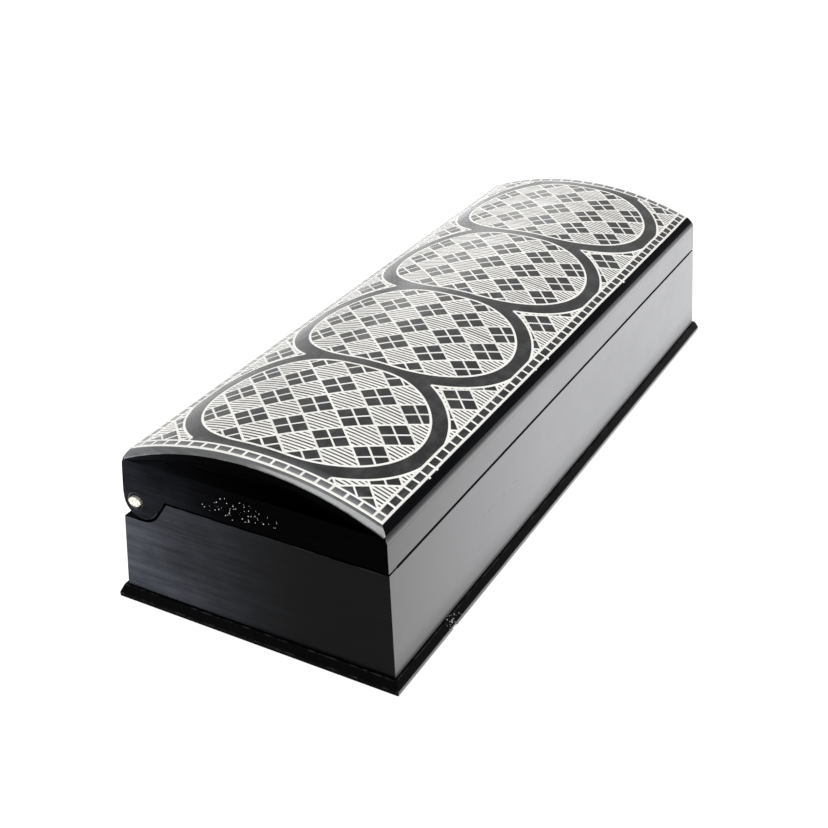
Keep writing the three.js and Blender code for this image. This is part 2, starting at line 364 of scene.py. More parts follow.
class Workpiece:
    """A piece on the bench: one mesh in millimetres, shaped by operators."""

    def __init__(self, bm: bmesh.types.BMesh) -> None:
        """Takes over a mesh."""
        self.bm = bm

    @classmethod
    def block(cls, low: Point, high: Point) -> "Workpiece":
        """Makes a square block.

        Args:
            low: its lowest corner.
            high: its highest corner.

        Returns:
            The block.
        """
        bm = bmesh.new()
        size = Vector(high) - Vector(low)
        middle = (Vector(high) + Vector(low)) / 2
        place = Matrix.Translation(middle) @ Matrix.Diagonal((*size, 1))
        bmesh.ops.create_cube(bm, size=1, matrix=place)
        return cls(bm)

    @classmethod
    def rod(cls, radius: float, span: Pair, axis: Pair, sides: int) -> "Workpiece":
        """Makes a round rod along X.

        Args:
            radius: its radius.
            span: where it starts and ends.
            axis: where its axis is, as y and z.
            sides: the number of its sides.

        Returns:
            The rod.
        """
        bm = bmesh.new()
        bmesh.ops.create_cone(
            bm, cap_ends=True, segments=sides, radius1=radius, radius2=radius,
            depth=span[1] - span[0], matrix=Matrix.Translation((sum(span) / 2, *axis)) @ ALONG_X,
        )
        return cls(bm)

    def divide(self, point: Point, normal: Point, clear: bool = False) -> list:
        """Divides the faces along a plane.

        Args:
            point: a point of the plane.
            normal: its normal.
            clear: whether what lies beyond the plane is cleared away.

        Returns:
            The edges and vertices along the cut.
        """
        bm = self.bm
        return bmesh.ops.bisect_plane(
            bm, geom=[*bm.verts, *bm.edges, *bm.faces], dist=CUT_DISTANCE, plane_co=point,
            plane_no=normal, clear_outer=clear,
        )["geom_cut"]

    def slice(self, point: Point, normal: Point) -> None:
        """Cuts away what lies beyond a plane and caps the cut."""
        rim = only(self.divide(point, normal, clear=True), bmesh.types.BMEdge)
        bmesh.ops.holes_fill(self.bm, edges=rim, sides=0)

    def score(self, axis: int, step: float) -> None:
        """Divides the faces by planes square to an axis, so that the piece can be worn unevenly.

        Args:
            axis: 0, 1 or 2 for X, Y or Z.
            step: the distance between the planes.
        """
        places = [vert.co[axis] for vert in self.bm.verts]
        low, reach = min(places), max(places) - min(places)
        count = int(reach / step)
        normal = Vector((0, 0, 0))
        normal[axis] = 1
        for i in range(1, count):
            self.divide(normal * (low + reach * i / count), normal)

    def batter_sides(self, sizes: BoxSizes) -> None:
        """Planes the four outer faces to the walls' lean.

        Args:
            sizes: the box's sizes.
        """
        for sign in (-1, 1):
            self.slice((sign * sizes.half_length, 0, sizes.parting), (sign, 0, sizes.batter))
            self.slice((0, sign * sizes.half_width, sizes.parting), (0, sign, sizes.batter))

    def ease(
        self, width: float, segments: int, where: Test, wear: float = 0.0, clamp: bool = True
    ) -> None:
        """Rounds the sharp edges whose middle lies where a test says.

        Args:
            width: how far the rounding reaches on each face.
            segments: the number of faces across the rounding.
            where: the test on an edge's middle.
            wear: how bare the rounded edge is worn, from 0 to 1.
            clamp: whether the rounding shrinks where it has no room.
        """
        layer = self.bm.verts.layers.float.get(WEAR) or self.bm.verts.layers.float.new(WEAR)
        edges = [
            edge for edge in self.bm.edges
            if edge.calc_face_angle(0) > SHARP_ANGLE / 2
            and where((edge.verts[0].co + edge.verts[1].co) / 2)
        ]
        made = round_off(self.bm, edges, width, segments, clamp)
        rounded = set(made["faces"])
        for vert in made["verts"]:
            inner = vert.is_valid and all(face in rounded for face in vert.link_faces)
            vert[layer] = wear if inner else 0.0

    def weather(self, depth: float, size: float, seed: float, where: Test) -> None:
        """Moves vertices by a smooth noise, as hand work does.

        Args:
            depth: how far a vertex may move.
            size: the noise's wavelength.
            seed: picks the noise.
            where: the test on a vertex's place.
        """
        shift = Vector((seed, 2 * seed, 3 * seed))
        for vert in self.bm.verts:
            if where(vert.co):
                vert.co += drift(vert.co / size + shift) * depth

    def work_with(self, other: "Workpiece", join: Join) -> None:
        """Joins, cuts or trims the piece with another one, which is used up.

        Args:
            other: the other piece.
            join: what is done with it.
        """
        own, tool = self.loose_object("own"), other.loose_object("tool")
        modifier = own.modifiers.new("cut", "BOOLEAN")
        modifier.object = tool
        modifier.operation = join.value
        modifier.solver = "EXACT"
        graph = bpy.context.evaluated_depsgraph_get()
        self.bm = bmesh.new()
        self.bm.from_mesh(own.evaluated_get(graph).data)
        bmesh.ops.remove_doubles(self.bm, verts=self.bm.verts, dist=MERGE_DISTANCE)
        for item in (own, tool):
            mesh = item.data
            bpy.data.objects.remove(item)
            bpy.data.meshes.remove(mesh)

    def loose_object(self, name: str) -> bpy.types.Object:
        """Makes the mesh an object in the scene, with the mesh used up.

        Args:
            name: the object's name.

        Returns:
            The object.
        """
        mesh = bpy.data.meshes.new(name)
        self.bm.to_mesh(mesh)
        self.bm.free()
        item = bpy.data.objects.new(name, mesh)
        bpy.context.scene.collection.objects.link(item)
        return item

    def done(
        self, name: str, body: str, slot: str, replaces: str,
        materials: list[bpy.types.Material], pick: Callable[[Vector], int] | None = None,
    ) -> None:
        """Brings the piece to metres, dresses it and puts it on its body.

        Args:
            name: the finished piece's name.
            body: the body that it moves with.
            slot: the record's material slot; not used.
            replaces: the frame's node that it stands for.
            materials: its materials.
            pick: gives a face's material index from its normal.
        """
        bm = self.bm
        bmesh.ops.remove_doubles(bm, verts=bm.verts, dist=MERGE_DISTANCE)
        bmesh.ops.recalc_face_normals(bm, faces=bm.faces)
        if bm.calc_volume(signed=True) < 0:
            bmesh.ops.reverse_faces(bm, faces=bm.faces)
        for face in bm.faces:
            face.smooth = True
            face.material_index = pick(face.normal) if pick else 0
        bmesh.ops.scale(bm, vec=(METRES_PER_MM,) * 3, verts=bm.verts)
        item = self.loose_object(name)
        item.data.set_sharp_from_angle(angle=SHARP_ANGLE)
        for material in materials:
            item.data.materials.append(material)
        item.modifiers.new("weighted_normals", "WEIGHTED_NORMAL").keep_sharp = True
        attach(item, body)
        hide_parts(replaces)
        log.info("%s: %d faces on %s", name, len(item.data.polygons), body)


@dataclass(frozen=True)
class Cloud:
    """A noise: its scale, its detail and how much it is drawn out along the grain."""

    scale: float
    detail: float = 4.0
    along: float = 1.0
    roughness: float = 0.6

    def stretch(self, grain: Grain) -> Point:
        """Gives how the noise's coordinates are stretched."""
        return tuple(self.along if part else 1.0 for part in grain.value)


class Recipe:
    """The nodes of a material or a world, added one by one around its shader."""

    def __init__(self, owner: bpy.types.ID, shader: str = "Principled BSDF") -> None:
        """Takes over a material or a world.

        Args:
            owner: the material or the world.
            shader: its shader node's name.
        """
        owner.use_nodes = True
        self.owner = owner
        self.tree = owner.node_tree
        self.shader = self.tree.nodes[shader]

    def add(self, kind: str, values: dict | None = None, **options: object) -> bpy.types.Node:
        """Adds a node.

        Args:
            kind: the node's type.
            values: its sockets' values or the sockets linked to them, by name or index.
            options: its own settings.

        Returns:
            The node.
        """
        node = self.tree.nodes.new(kind)
        for key, value in options.items():
            setattr(node, key, value)
        self.set(node, values or {})
        return node

    def set(self, node: bpy.types.Node, values: dict) -> None:
        """Sets or links a node's sockets.

        Args:
            node: the node.
            values: the values or the sockets linked to them, by name or index.
        """
        for key, value in values.items():
            if isinstance(value, Socket):
                self.tree.links.new(value, node.inputs[key])
            else:
                node.inputs[key].default_value = value

    def here(self) -> Socket:
        """Gives the object's own coordinates."""
        return self.add("ShaderNodeTexCoord").outputs["Object"]

    def coordinate(self, axis: str) -> Socket:
        """Gives one of the object's own coordinates."""
        return self.add("ShaderNodeSeparateXYZ", {0: self.here()}).outputs[axis]

    def attribute(self, name: str) -> Socket:
        """Gives a value that is stored on the mesh."""
        return self.add("ShaderNodeAttribute", attribute_name=name).outputs["Fac"]

    def cloud(self, cloud: Cloud, grain: Grain = Grain.ALONG) -> Socket:
        """Gives a noise from 0 to 1.

        Args:
            cloud: the noise's sizes.
            grain: which way it is drawn out.

        Returns:
            The noise.
        """
        stretched = {"Vector": self.here(), "Scale": cloud.stretch(grain)}
        place = self.add("ShaderNodeMapping", stretched).outputs["Vector"]
        values = {
            "Vector": place, "Scale": cloud.scale, "Detail": cloud.detail,
            "Roughness": cloud.roughness,
        }
        return self.add("ShaderNodeTexNoise", values).outputs["Fac"]

    def range(self, value: Socket, span: Pair, to: Pair = (0.0, 1.0)) -> Socket:
        """Maps a value from one range to another, held at its ends."""
        values = {"Value": value, 1: span[0], 2: span[1], 3: to[0], 4: to[1]}
        return self.add("ShaderNodeMapRange", values).outputs[0]

    def math(self, operation: str, *values: Socket | float) -> Socket:
        """Does one sum on values that vary over the surface."""
        return self.add("ShaderNodeMath", dict(enumerate(values)), operation=operation).outputs[0]

    def product(self, first: Socket, *others: Socket | float) -> Socket:
        """Multiplies values that vary over the surface.

        Args:
            first: the first value.
            others: the other values.

        Returns:
            The product.
        """
        for other in others:
            first = self.math("MULTIPLY", first, other)
        return first

    def vector(self, operation: str, *values: Socket | Point) -> bpy.types.Node:
        """Does one sum on vectors that vary over the surface."""
        return self.add("ShaderNodeVectorMath", dict(enumerate(values)), operation=operation)

    def blend(self, factor: Socket, first: Socket | Point, second: Point) -> Socket:
        """Mixes two colours.

        Args:
            factor: the second colour's share.
            first: the first colour.
            second: the second colour.

        Returns:
            The mixed colour.
        """
        start = first if isinstance(first, Socket) else (*first, 1)
        values = {0: factor, 6: start, 7: (*second, 1)}
        return self.add("ShaderNodeMix", values, data_type="RGBA").outputs[2]

    def relief(self, height: Socket, strength: float, depth: float, **under: Socket) -> Socket:
        """Turns a height into a bumped normal, over another one if given as Normal."""
        values = {"Strength": strength, "Distance": depth, "Height": height, **under}
        return self.add("ShaderNodeBump", values).outputs["Normal"]


@dataclass(frozen=True)
class Specks:
    """Small specks or pits on a face, gathered around one place."""

    colour: Point
    place: Point
    squeeze: Point
    reach: Pair
    most: float
    size: Pair
    scale: float

    def mask(self, recipe: Recipe) -> Socket:
        """Gives 1 on a speck and 0 elsewhere.

        Args:
            recipe: the material's nodes.

        Returns:
            The mask.
        """
        here = recipe.here()
        cells = recipe.add("ShaderNodeTexVoronoi", {"Vector": here, "Scale": self.scale}).outputs
        lot = recipe.add("ShaderNodeSeparateColor", {0: cells["Color"]}).outputs
        offset = recipe.vector("SUBTRACT", here, self.place).outputs["Vector"]
        squeezed = recipe.vector("MULTIPLY", offset, self.squeeze).outputs["Vector"]
        away = recipe.vector("LENGTH", squeezed).outputs["Value"]
        near = recipe.range(away, self.reach, (self.most, 0.0))
        chosen = recipe.math("LESS_THAN", lot["Red"], near)
        size = recipe.range(lot["Green"], (0.0, 1.0), self.size)
        return recipe.product(chosen, recipe.math("LESS_THAN", cells["Distance"], size))


@dataclass(frozen=True)
class Ebony:
    """Black wood, oiled and rubbed, with fine grain, pores and bare worn edges, and with
    reflections and highlights painted into its colour.
    """

    name: str
    grain: Grain
    dark: Point = (0.0045, 0.0045, 0.0055)
    light: Point = (0.013, 0.013, 0.015)
    tint_span: Pair = (0.1, 0.45)
    streaks: Cloud = Cloud(900.0, 4.0, 0.06)
    bands: Cloud = Cloud(90.0, 3.0, 0.15)
    pores: Cloud = Cloud(3200.0, 2.0, 0.08)
    smears: Cloud = Cloud(28.0)
    smear_span: Pair = (0.3, 0.7)
    relief: float = 0.25
    pore_depth: float = 0.00003
    streak_depth: float = 0.00004
    worn: Point = (0.16, 0.16, 0.17)
    worn_roughness: float = 0.6
    chips: Cloud = Cloud(140.0, 6.0)
    chip_span: Pair = (0.47, 0.60)
    smooth: float = 0.26
    rough: float = 0.40
    gloss_span: Pair = (0.35, 0.68)
    gloss_shares: Pair = (0.7, 0.3)
    ior: float = 1.5
    specular: float = 0.3
    gleam: Point = (1.0, 1.0, 1.0)
    sheen: float = 0.0
    sheen_roughness: float = 0.4
    coat: float = 0.0
    coat_roughness: float = 0.12
    coat_ior: float = 1.5
    polish_top: float = 0.0
    polish_fade: float = 0.0012
    polish_ends: Pair = (-0.1265, -0.03)
    polish_end_share: float = 0.5
    foot_height: Pair = (0.0045, 0.0115)
    foot_share: float = 0.45
    painted_reflection: float = 0.0
    reflection_colour: Point = (0.145, 0.158, 0.195)
    reflection_axis: str = "Y"
    reflection_reach: Pair = (-0.022, 0.055)
    reflection_power: float = 2.0
    reflection_above: float = 0.3
    reflection_height: Pair = (0.055, 0.03)
    reflection_streaks: float = 0.45
    streak_span: Pair = (0.38, 0.62)
    clouds: Cloud = Cloud(55.0)
    reflection_clouds: Pair = (0.45, 1.0)
    end_reflection: float = 0.0
    end_reflection_reach: Pair = (0.1165, 0.1225)
    end_reflection_clouds: Pair = (0.5, 1.0)
    edge_highlight_colour: Point = (0.33, 0.34, 0.35)
    edge_highlight_reach: Pair = (0.1208, 0.1232)
    edge_highlight_front: Pair = (-0.035, 0.045)
    edge_highlight_back_share: float = 0.35
    edge_highlight_clouds: Pair = (0.6, 1.0)
    specks: tuple[Specks, ...] = ()

    def make(self) -> bpy.types.Material:
        """Builds the material.

        Returns:
            The material.
        """
        recipe = Recipe(bpy.data.materials.new(self.name))
        streaks = recipe.cloud(self.streaks, self.grain)
        bands = recipe.cloud(self.bands, self.grain)
        smears = recipe.cloud(self.smears)
        wood = recipe.blend(
            recipe.range(recipe.product(streaks, bands), self.tint_span), self.dark, self.light)
        # Painted reflection: a pale colour mixed in where the wood should mirror bright
        # surroundings.
        if self.painted_reflection:
            wood = recipe.blend(self.painted_reflection_mask(recipe, bands, streaks), wood, self.reflection_colour)
        # Painted reflection greying the top towards its ends, then a painted highlight along its
        # end edges.
        if self.end_reflection:
            wood = recipe.blend(self.painted_end_reflection(recipe, smears), wood, self.reflection_colour)
            wood = recipe.blend(self.painted_edge_highlight(recipe, smears), wood, self.edge_highlight_colour)
        chips = recipe.range(recipe.cloud(self.chips), self.chip_span)
        bare = recipe.product(recipe.attribute(WEAR), chips)
        colour = recipe.blend(bare, wood, self.worn)
        for specks in self.specks:
            colour = recipe.blend(specks.mask(recipe), colour, specks.colour)
        shares = zip((smears, streaks), self.gloss_shares)
        gloss = recipe.math("ADD", *(recipe.product(value, share) for value, share in shares))
        roughness = recipe.range(gloss, self.gloss_span, (self.smooth, self.rough))
        pores = recipe.relief(recipe.cloud(self.pores, self.grain), self.relief, self.pore_depth)
        recipe.set(recipe.shader, {
            "Base Color": colour,
            "Roughness": recipe.math(
                "MAXIMUM", roughness, recipe.product(bare, self.worn_roughness)),
            "Normal": recipe.relief(streaks, self.relief, self.streak_depth, Normal=pores),
            "IOR": self.ior,
            "Specular IOR Level": self.specular,
            "Specular Tint": (*self.gleam, 1),
            "Coat Weight": self.polished(recipe) if self.polish_top else self.coat,
            "Coat Roughness": self.coat_roughness,
            "Coat IOR": self.coat_ior,
            "Coat Tint": (*self.gleam, 1),
            "Sheen Weight": self.sheen,
            "Sheen Roughness": self.sheen_roughness,
        })
        return recipe.owner

    def painted_reflection_mask(self, recipe: Recipe, bands: Socket, streaks: Socket) -> Socket:
        """Gives the painted reflection: a pale sheen painted into the colour, growing towards one
        side, set by height and streaked with the grain.

        Args:
            recipe: the material's nodes.
            bands: the grain's wide bands.
            streaks: its fine streaks.

        Returns:
            The painted reflection, from 0 to 1.
        """
        ramp = recipe.range(recipe.coordinate(self.reflection_axis), self.reflection_reach)
        side = recipe.math("POWER", ramp, self.reflection_power)
        low = recipe.range(recipe.coordinate("Z"), self.reflection_height, (self.reflection_above, 1.0))
        cloud = recipe.range(recipe.cloud(self.clouds), self.smear_span, self.reflection_clouds)
        lines = recipe.product(recipe.math("ADD", bands, streaks), 0.5)
        grainy = recipe.range(lines, self.streak_span, (self.reflection_streaks, 1.0))
        return recipe.product(side, low, cloud, grainy, self.painted_reflection)

    def polished(self, recipe: Recipe) -> Socket:
        """Gives how thick the polish is, rubbed away at the lid's edge, the foot and the left end.

        Args:
            recipe: the material's nodes.

        Returns:
            The polish's weight.
        """
        thin = self.polish_end_share * self.coat
        ends = recipe.range(recipe.coordinate("X"), self.polish_ends, (thin, self.coat))
        fade = (self.polish_top - self.polish_fade, self.polish_top)
        top = recipe.range(recipe.coordinate("Z"), fade, (1.0, 0.0))
        foot = recipe.range(recipe.coordinate("Z"), self.foot_height, (self.foot_share, 1.0))
        return recipe.product(ends, top, foot)

    def painted_end_reflection(self, recipe: Recipe, smears: Socket) -> Socket:
        """Gives the painted reflection that greys the top towards its two ends.

        Args:
            recipe: the material's nodes.
            smears: a broad noise.

        Returns:
            The painted reflection, from 0 to 1.
        """
        along = recipe.math("ABSOLUTE", recipe.coordinate("X"))
        ends = recipe.range(along, self.end_reflection_reach, (0.0, self.end_reflection))
        return recipe.product(ends, recipe.range(smears, self.smear_span, self.end_reflection_clouds))

    def painted_edge_highlight(self, recipe: Recipe, smears: Socket) -> Socket:
        """Gives the painted highlight along the top's end edges, beyond the ladder, stronger
        towards the front.

        Args:
            recipe: the material's nodes.
            smears: a broad noise.

        Returns:
            The painted highlight, from 0 to 1.
        """
        edge = recipe.range(recipe.math("ABSOLUTE", recipe.coordinate("X")), self.edge_highlight_reach)
        front = recipe.range(recipe.coordinate("Y"), self.edge_highlight_front, (1.0, self.edge_highlight_back_share))
        cloudy = recipe.range(smears, self.smear_span, self.edge_highlight_clouds)
        return recipe.product(edge, cloudy, front)


@dataclass(frozen=True)
class WhiteMetal:
    """Strips of white metal, filed flush, with each strip a little duller or brighter."""

    name: str
    bright: Point = (0.94, 0.93, 0.90)
    dull: Point = (0.80, 0.79, 0.76)
    age_span: Pair = (0.25, 0.75)
    stain: Cloud = Cloud(160.0, 3.0)
    filing: Cloud = Cloud(5200.0, 2.0, 0.12)
    filing_span: Pair = (0.1, 0.4)
    filing_relief: float = 0.3
    filing_depth: float = 0.00002
    metallic: float = 0.3
    roughness: Pair = (0.38, 0.55)

    def make(self) -> bpy.types.Material:
        """Builds the material.

        Returns:
            The material.
        """
        recipe = Recipe(bpy.data.materials.new(self.name))
        stain = recipe.cloud(self.stain)
        filing = recipe.cloud(self.filing, Grain.ACROSS)
        age = recipe.product(recipe.math("ADD", recipe.attribute(TONE), stain), 0.5)
        recipe.set(recipe.shader, {
            "Base Color": recipe.blend(recipe.range(age, self.age_span), self.bright, self.dull),
            "Metallic": self.metallic,
            "Roughness": recipe.range(
                recipe.product(filing, stain), self.filing_span, self.roughness),
            "Normal": recipe.relief(filing, self.filing_relief, self.filing_depth),
        })
        return recipe.owner


@dataclass(frozen=True)
class PinMetal:
    """A rough-cut pin, hammered and a little stained."""

    name: str
    bright: Point = (0.86, 0.84, 0.78)
    stained: Point = (0.30, 0.25, 0.19)
    stain: Cloud = Cloud(900.0)
    stain_span: Pair = (0.52, 0.66)
    hammer: Cloud = Cloud(1500.0, 2.0)
    hammer_span: Pair = (0.3, 0.7)
    hammer_relief: float = 0.5
    hammer_depth: float = 0.00008
    metallic: float = 0.7
    roughness: Pair = (0.34, 0.6)

    def make(self) -> bpy.types.Material:
        """Builds the material.

        Returns:
            The material.
        """
        recipe = Recipe(bpy.data.materials.new(self.name))
        stain = recipe.range(recipe.cloud(self.stain), self.stain_span)
        hammer = recipe.cloud(self.hammer)
        recipe.set(recipe.shader, {
            "Base Color": recipe.blend(stain, self.bright, self.stained),
            "Metallic": self.metallic,
            "Roughness": recipe.range(hammer, self.hammer_span, self.roughness),
            "Normal": recipe.relief(hammer, self.hammer_relief, self.hammer_depth),
        })
        return recipe.owner


class Finishes:
    """The box's finishes, made once."""

    def __init__(self, sizes: BoxSizes) -> None:
        """Makes every material.

        Args:
            sizes: the box's sizes.
        """
        dust = Specks(
            colour=(0.7, 0.7, 0.67), place=(-0.1258, 0.003, 0.0452), squeeze=(0.0, 1.0, 3.6),
            reach=(0.003, 0.022), most=0.6, size=(0.04, 0.27), scale=1350.0)
        pits = Specks(
            colour=(0.004, 0.004, 0.005), place=(-0.062, -0.0505, 0.0235), squeeze=(1.0, 0.3, 34.0),
            reach=(0.016, 0.021), most=0.8, size=(0.25, 0.6), scale=750.0)
        crumbs = Specks(
            colour=(0.5, 0.5, 0.5), place=(-0.096, -0.0495, 0.001), squeeze=(1.0, 1.0, 1.0),
            reach=(0.001, 0.005), most=0.9, size=(0.2, 0.5), scale=1600.0)
        # Near-black wood; on the end boards' notch and top it is painted shade for the shadow in
        # the notch and along the parting.
        black_and_shade = Ebony(
            "ebony_black_and_shade", Grain.ACROSS, dark=(0.0004, 0.0004, 0.0005),
            light=(0.0016, 0.0016, 0.002), specular=0.01)
        # The sides' pale bluish colour is a painted reflection, growing along X and painted darker
        # at the foot as shade.
        polish = Ebony(
            "ebony_sides", Grain.ALONG, specular=0.12, coat=1.0, coat_ior=2.12, smooth=0.3,
            rough=0.42, gleam=(0.93, 0.94, 1.0), sheen=0.95, painted_reflection=0.42,
            reflection_colour=(0.42, 0.425, 0.48), relief=0.1, reflection_axis="X",
            reflection_reach=(-0.12, 0.09), reflection_power=0.9, reflection_above=0.45,
            reflection_height=Ebony.foot_height, reflection_streaks=0.75, polish_top=1.0, specks=(pits,))
        edge = (sizes.lid_edge + sizes.polish_over) * METRES_PER_MM
        self.black_and_shade = black_and_shade.make()
        # The end boards carry painted reflections, stronger towards the back and lower down.
        self.ends = replace(black_and_shade, name="ebony_body_ends", specular=0.06, painted_reflection=1.0).make()
        self.lid_ends = replace(
            black_and_shade, name="ebony_lid_ends", specular=0.004, painted_reflection=0.6, reflection_reach=(0.0, 0.06),
            relief=0.15, worn=(0.32, 0.33, 0.35), specks=(dust,)).make()
        self.sides = polish.make()
        # On the lid's sides the painted reflection stops at the lid's top edge.
        self.lid_sides = replace(
            polish, name="ebony_lid_sides", specular=0.05, reflection_above=0.0,
            reflection_height=(edge, edge - Ebony.polish_fade), polish_top=edge, specks=()).make()
        # A faint painted reflection lies over the margins.
        self.margin = replace(
            black_and_shade, name="ebony_margin", grain=Grain.ALONG, specular=0.006, painted_reflection=0.1,
            reflection_reach=EVERYWHERE).make()
        # The rim's pale colour is a painted highlight.
        self.rim = Ebony(
            "ebony_rim", Grain.ACROSS, coat=0.34, coat_ior=1.85, rough=0.42,
            dark=(0.002, 0.002, 0.002), light=(0.007, 0.007, 0.007), worn=(0.5, 0.5, 0.5),
            painted_reflection=1.0, reflection_colour=(0.2, 0.205, 0.21), reflection_reach=EVERYWHERE,
            reflection_above=1.0).make()
        self.base = replace(
            black_and_shade, name="ebony_base", grain=Grain.ALONG, specular=0.02, smooth=0.3,
            worn=(0.045, 0.045, 0.05), chips=Cloud(300.0, 6.0), specks=(crumbs,)).make()
        # The top carries a mottled painted reflection, more of it towards its ends, and a painted
        # highlight along its end edges.
        self.top = Ebony(
            "ebony_top", Grain.ALONG, specular=0.19, coat=0.13, smooth=0.2, rough=0.36,
            dark=(0.002, 0.002, 0.002), light=(0.006, 0.006, 0.006), painted_reflection=0.32,
            reflection_colour=(0.19, 0.2, 0.205), reflection_reach=EVERYWHERE, reflection_clouds=(-1.2, 2.6),
            clouds=Cloud(150.0), end_reflection=0.9).make()
        self.inside = Ebony(
            "ebony_inside", Grain.ALONG, specular=0.1, smooth=0.62, rough=0.68, relief=0.12,
            dark=(0.005, 0.005, 0.006), light=(0.008, 0.008, 0.009)).make()
        self.metal = WhiteMetal("white_metal").make()
        self.pin = PinMetal("pin_metal").make()


@dataclass
class Body:
    """The base plate and the four walls that stand on it."""

    sizes: BoxSizes
    finishes: Finishes
    ledge: float = 2.2
    lip: float = 1.4
    bevel_run: float = 1.3
    score_step: float = 5.0
    base_rounding: float = 0.3
    wall_rounding: float = 0.2
    end_rounding: float = 0.25
    roll_steps: int = 32
    chip_place: Point = (-95.5, -50.2, 0.2)
    chip_reach: Point = (1.6, 0.7, 0.6)
    chip_tilt: float = 0.5
    chip_step: float = 0.5
    sole: float = 0.4
    rim: float = 0.3
    skin: float = 0.6

    def build(self) -> None:
        """Builds the five pieces."""
        self.base_plate()
        self.front_wall()
        self.back_wall()
        for side in Side:
            self.end_board(side)

    def base_plate(self) -> None:
        """Makes the moulded base plate, with its ledge, bevel and lip."""
        sizes = self.sizes
        x = sizes.outer_x(sizes.base_top) + self.ledge
        y = sizes.outer_y(sizes.base_top) + self.ledge
        work = Workpiece.block((-x, -y, 0), (x, y, sizes.base_top))
        rise = sizes.base_top - self.lip
        for sign in (-1, 1):
            work.slice((sign * x, 0, self.lip), (sign * rise, 0, self.bevel_run))
            work.slice((0, sign * y, self.lip), (0, sign * rise, self.bevel_run))
        work.score(0, self.score_step)
        work.score(1, self.score_step)
        work.ease(self.base_rounding, 3, anywhere, wear=0.5)
        work.weather(depth=0.11, size=15.0, seed=3.0, where=lambda place: place.z > self.sole)
        self.chip(work)
        work.done(
            "base_moulding", "body", "ebony_base", "base_plate",
            [self.finishes.base, self.finishes.sides],
            lambda normal: int(abs(normal.y) > FACING),
        )

    def chip(self, work: Workpiece) -> None:
        """Breaks a small chip from the base's front lip.

        Args:
            work: the base plate.
        """
        reach = Vector(self.chip_reach)
        tool = Workpiece.block(-reach, reach)
        tool.score(0, self.chip_step)
        tool.weather(depth=0.35, size=0.9, seed=7.0, where=anywhere)
        turn = Matrix.Translation(self.chip_place) @ Matrix.Rotation(self.chip_tilt, 4, "X")
        bmesh.ops.transform(tool.bm, matrix=turn, verts=tool.bm.verts)
        work.work_with(tool, Join.CUT)

    def front_wall(self) -> None:
        """Makes the front wall."""
        sizes = self.sizes
        work = Workpiece.block(
            (-sizes.inner_x, -sizes.outer_y(0), sizes.base_top),
            (sizes.inner_x, -sizes.inner_y, sizes.body_top))
        work.batter_sides(sizes)
        work.slice((0, 0, sizes.body_top - sizes.shadow_gap), (0, 0, 1))
        work.ease(self.wall_rounding, 2, lambda place: place.z > sizes.body_top - self.rim)
        work.done(
            "front_wall", "body", "ebony_body", "body_front_wall",
            [self.finishes.inside, self.finishes.sides],
            lambda normal: int(normal.y < -FACING),
        )

    def back_wall(self) -> None:
        """Makes the back wall, whose top is a half-round roll about the hinge."""
        sizes = self.sizes
        hinge = Hinge(sizes, self.finishes)
        lean = math.degrees(math.atan(sizes.batter))
        inner = math.degrees(math.acos((sizes.inner_y - hinge.y) / hinge.roll))
        start = math.radians(lean)
        outline = Outline(sizes.inner_y, sizes.base_top)
        outline.line(sizes.outer_y(sizes.base_top), sizes.base_top)
        outline.line(hinge.y + hinge.roll * math.cos(start), hinge.z + hinge.roll * math.sin(start))
        outline.arc((hinge.y, hinge.z), inner - lean, self.roll_steps)
        work = outline.board(-sizes.inner_x, sizes.inner_x)
        for side in Side:
            work.work_with(hinge.bore(side), Join.CUT)
        work.done(
            "back_wall", "body", "ebony_body", "body_back_wall",
            [self.finishes.inside, self.finishes.sides],
            lambda normal: int(normal.y > ROLL_BACK),
        )

    def end_board(self, side: Side) -> None:
        """Makes an end board, notched for the lid's ear.

        Args:
            side: its end of the box.
        """
        sizes, sign = self.sizes, side.value
        y = sizes.outer_y(0)
        near, far = side.span(sizes.inner_x, sizes.outer_x(0))
        work = Workpiece.block((near, -y, sizes.base_top), (far, y, sizes.body_top))
        work.batter_sides(sizes)
        work.slice((0, 0, sizes.body_top - sizes.shadow_gap), (0, 0, 1))
        work.work_with(Ear(sizes).notch(), Join.CUT)
        outside = sizes.outer_x(sizes.body_top) - self.skin
        work.ease(self.end_rounding, 2, lambda place: place.x * sign > outside, wear=0.2)
        # The end face gets the painted reflection; the notch, the top and the inner face get the
        # near-black finish as painted shade.
        work.done(
            f"{side.word}_end_board", "body", "ebony_body", f"body_{side.word}_end",
            [self.finishes.black_and_shade, self.finishes.ends, self.finishes.sides],
            lambda normal: 1 if normal.x * sign > END_FACING else 2 * int(abs(normal.y) > FACING),
        )


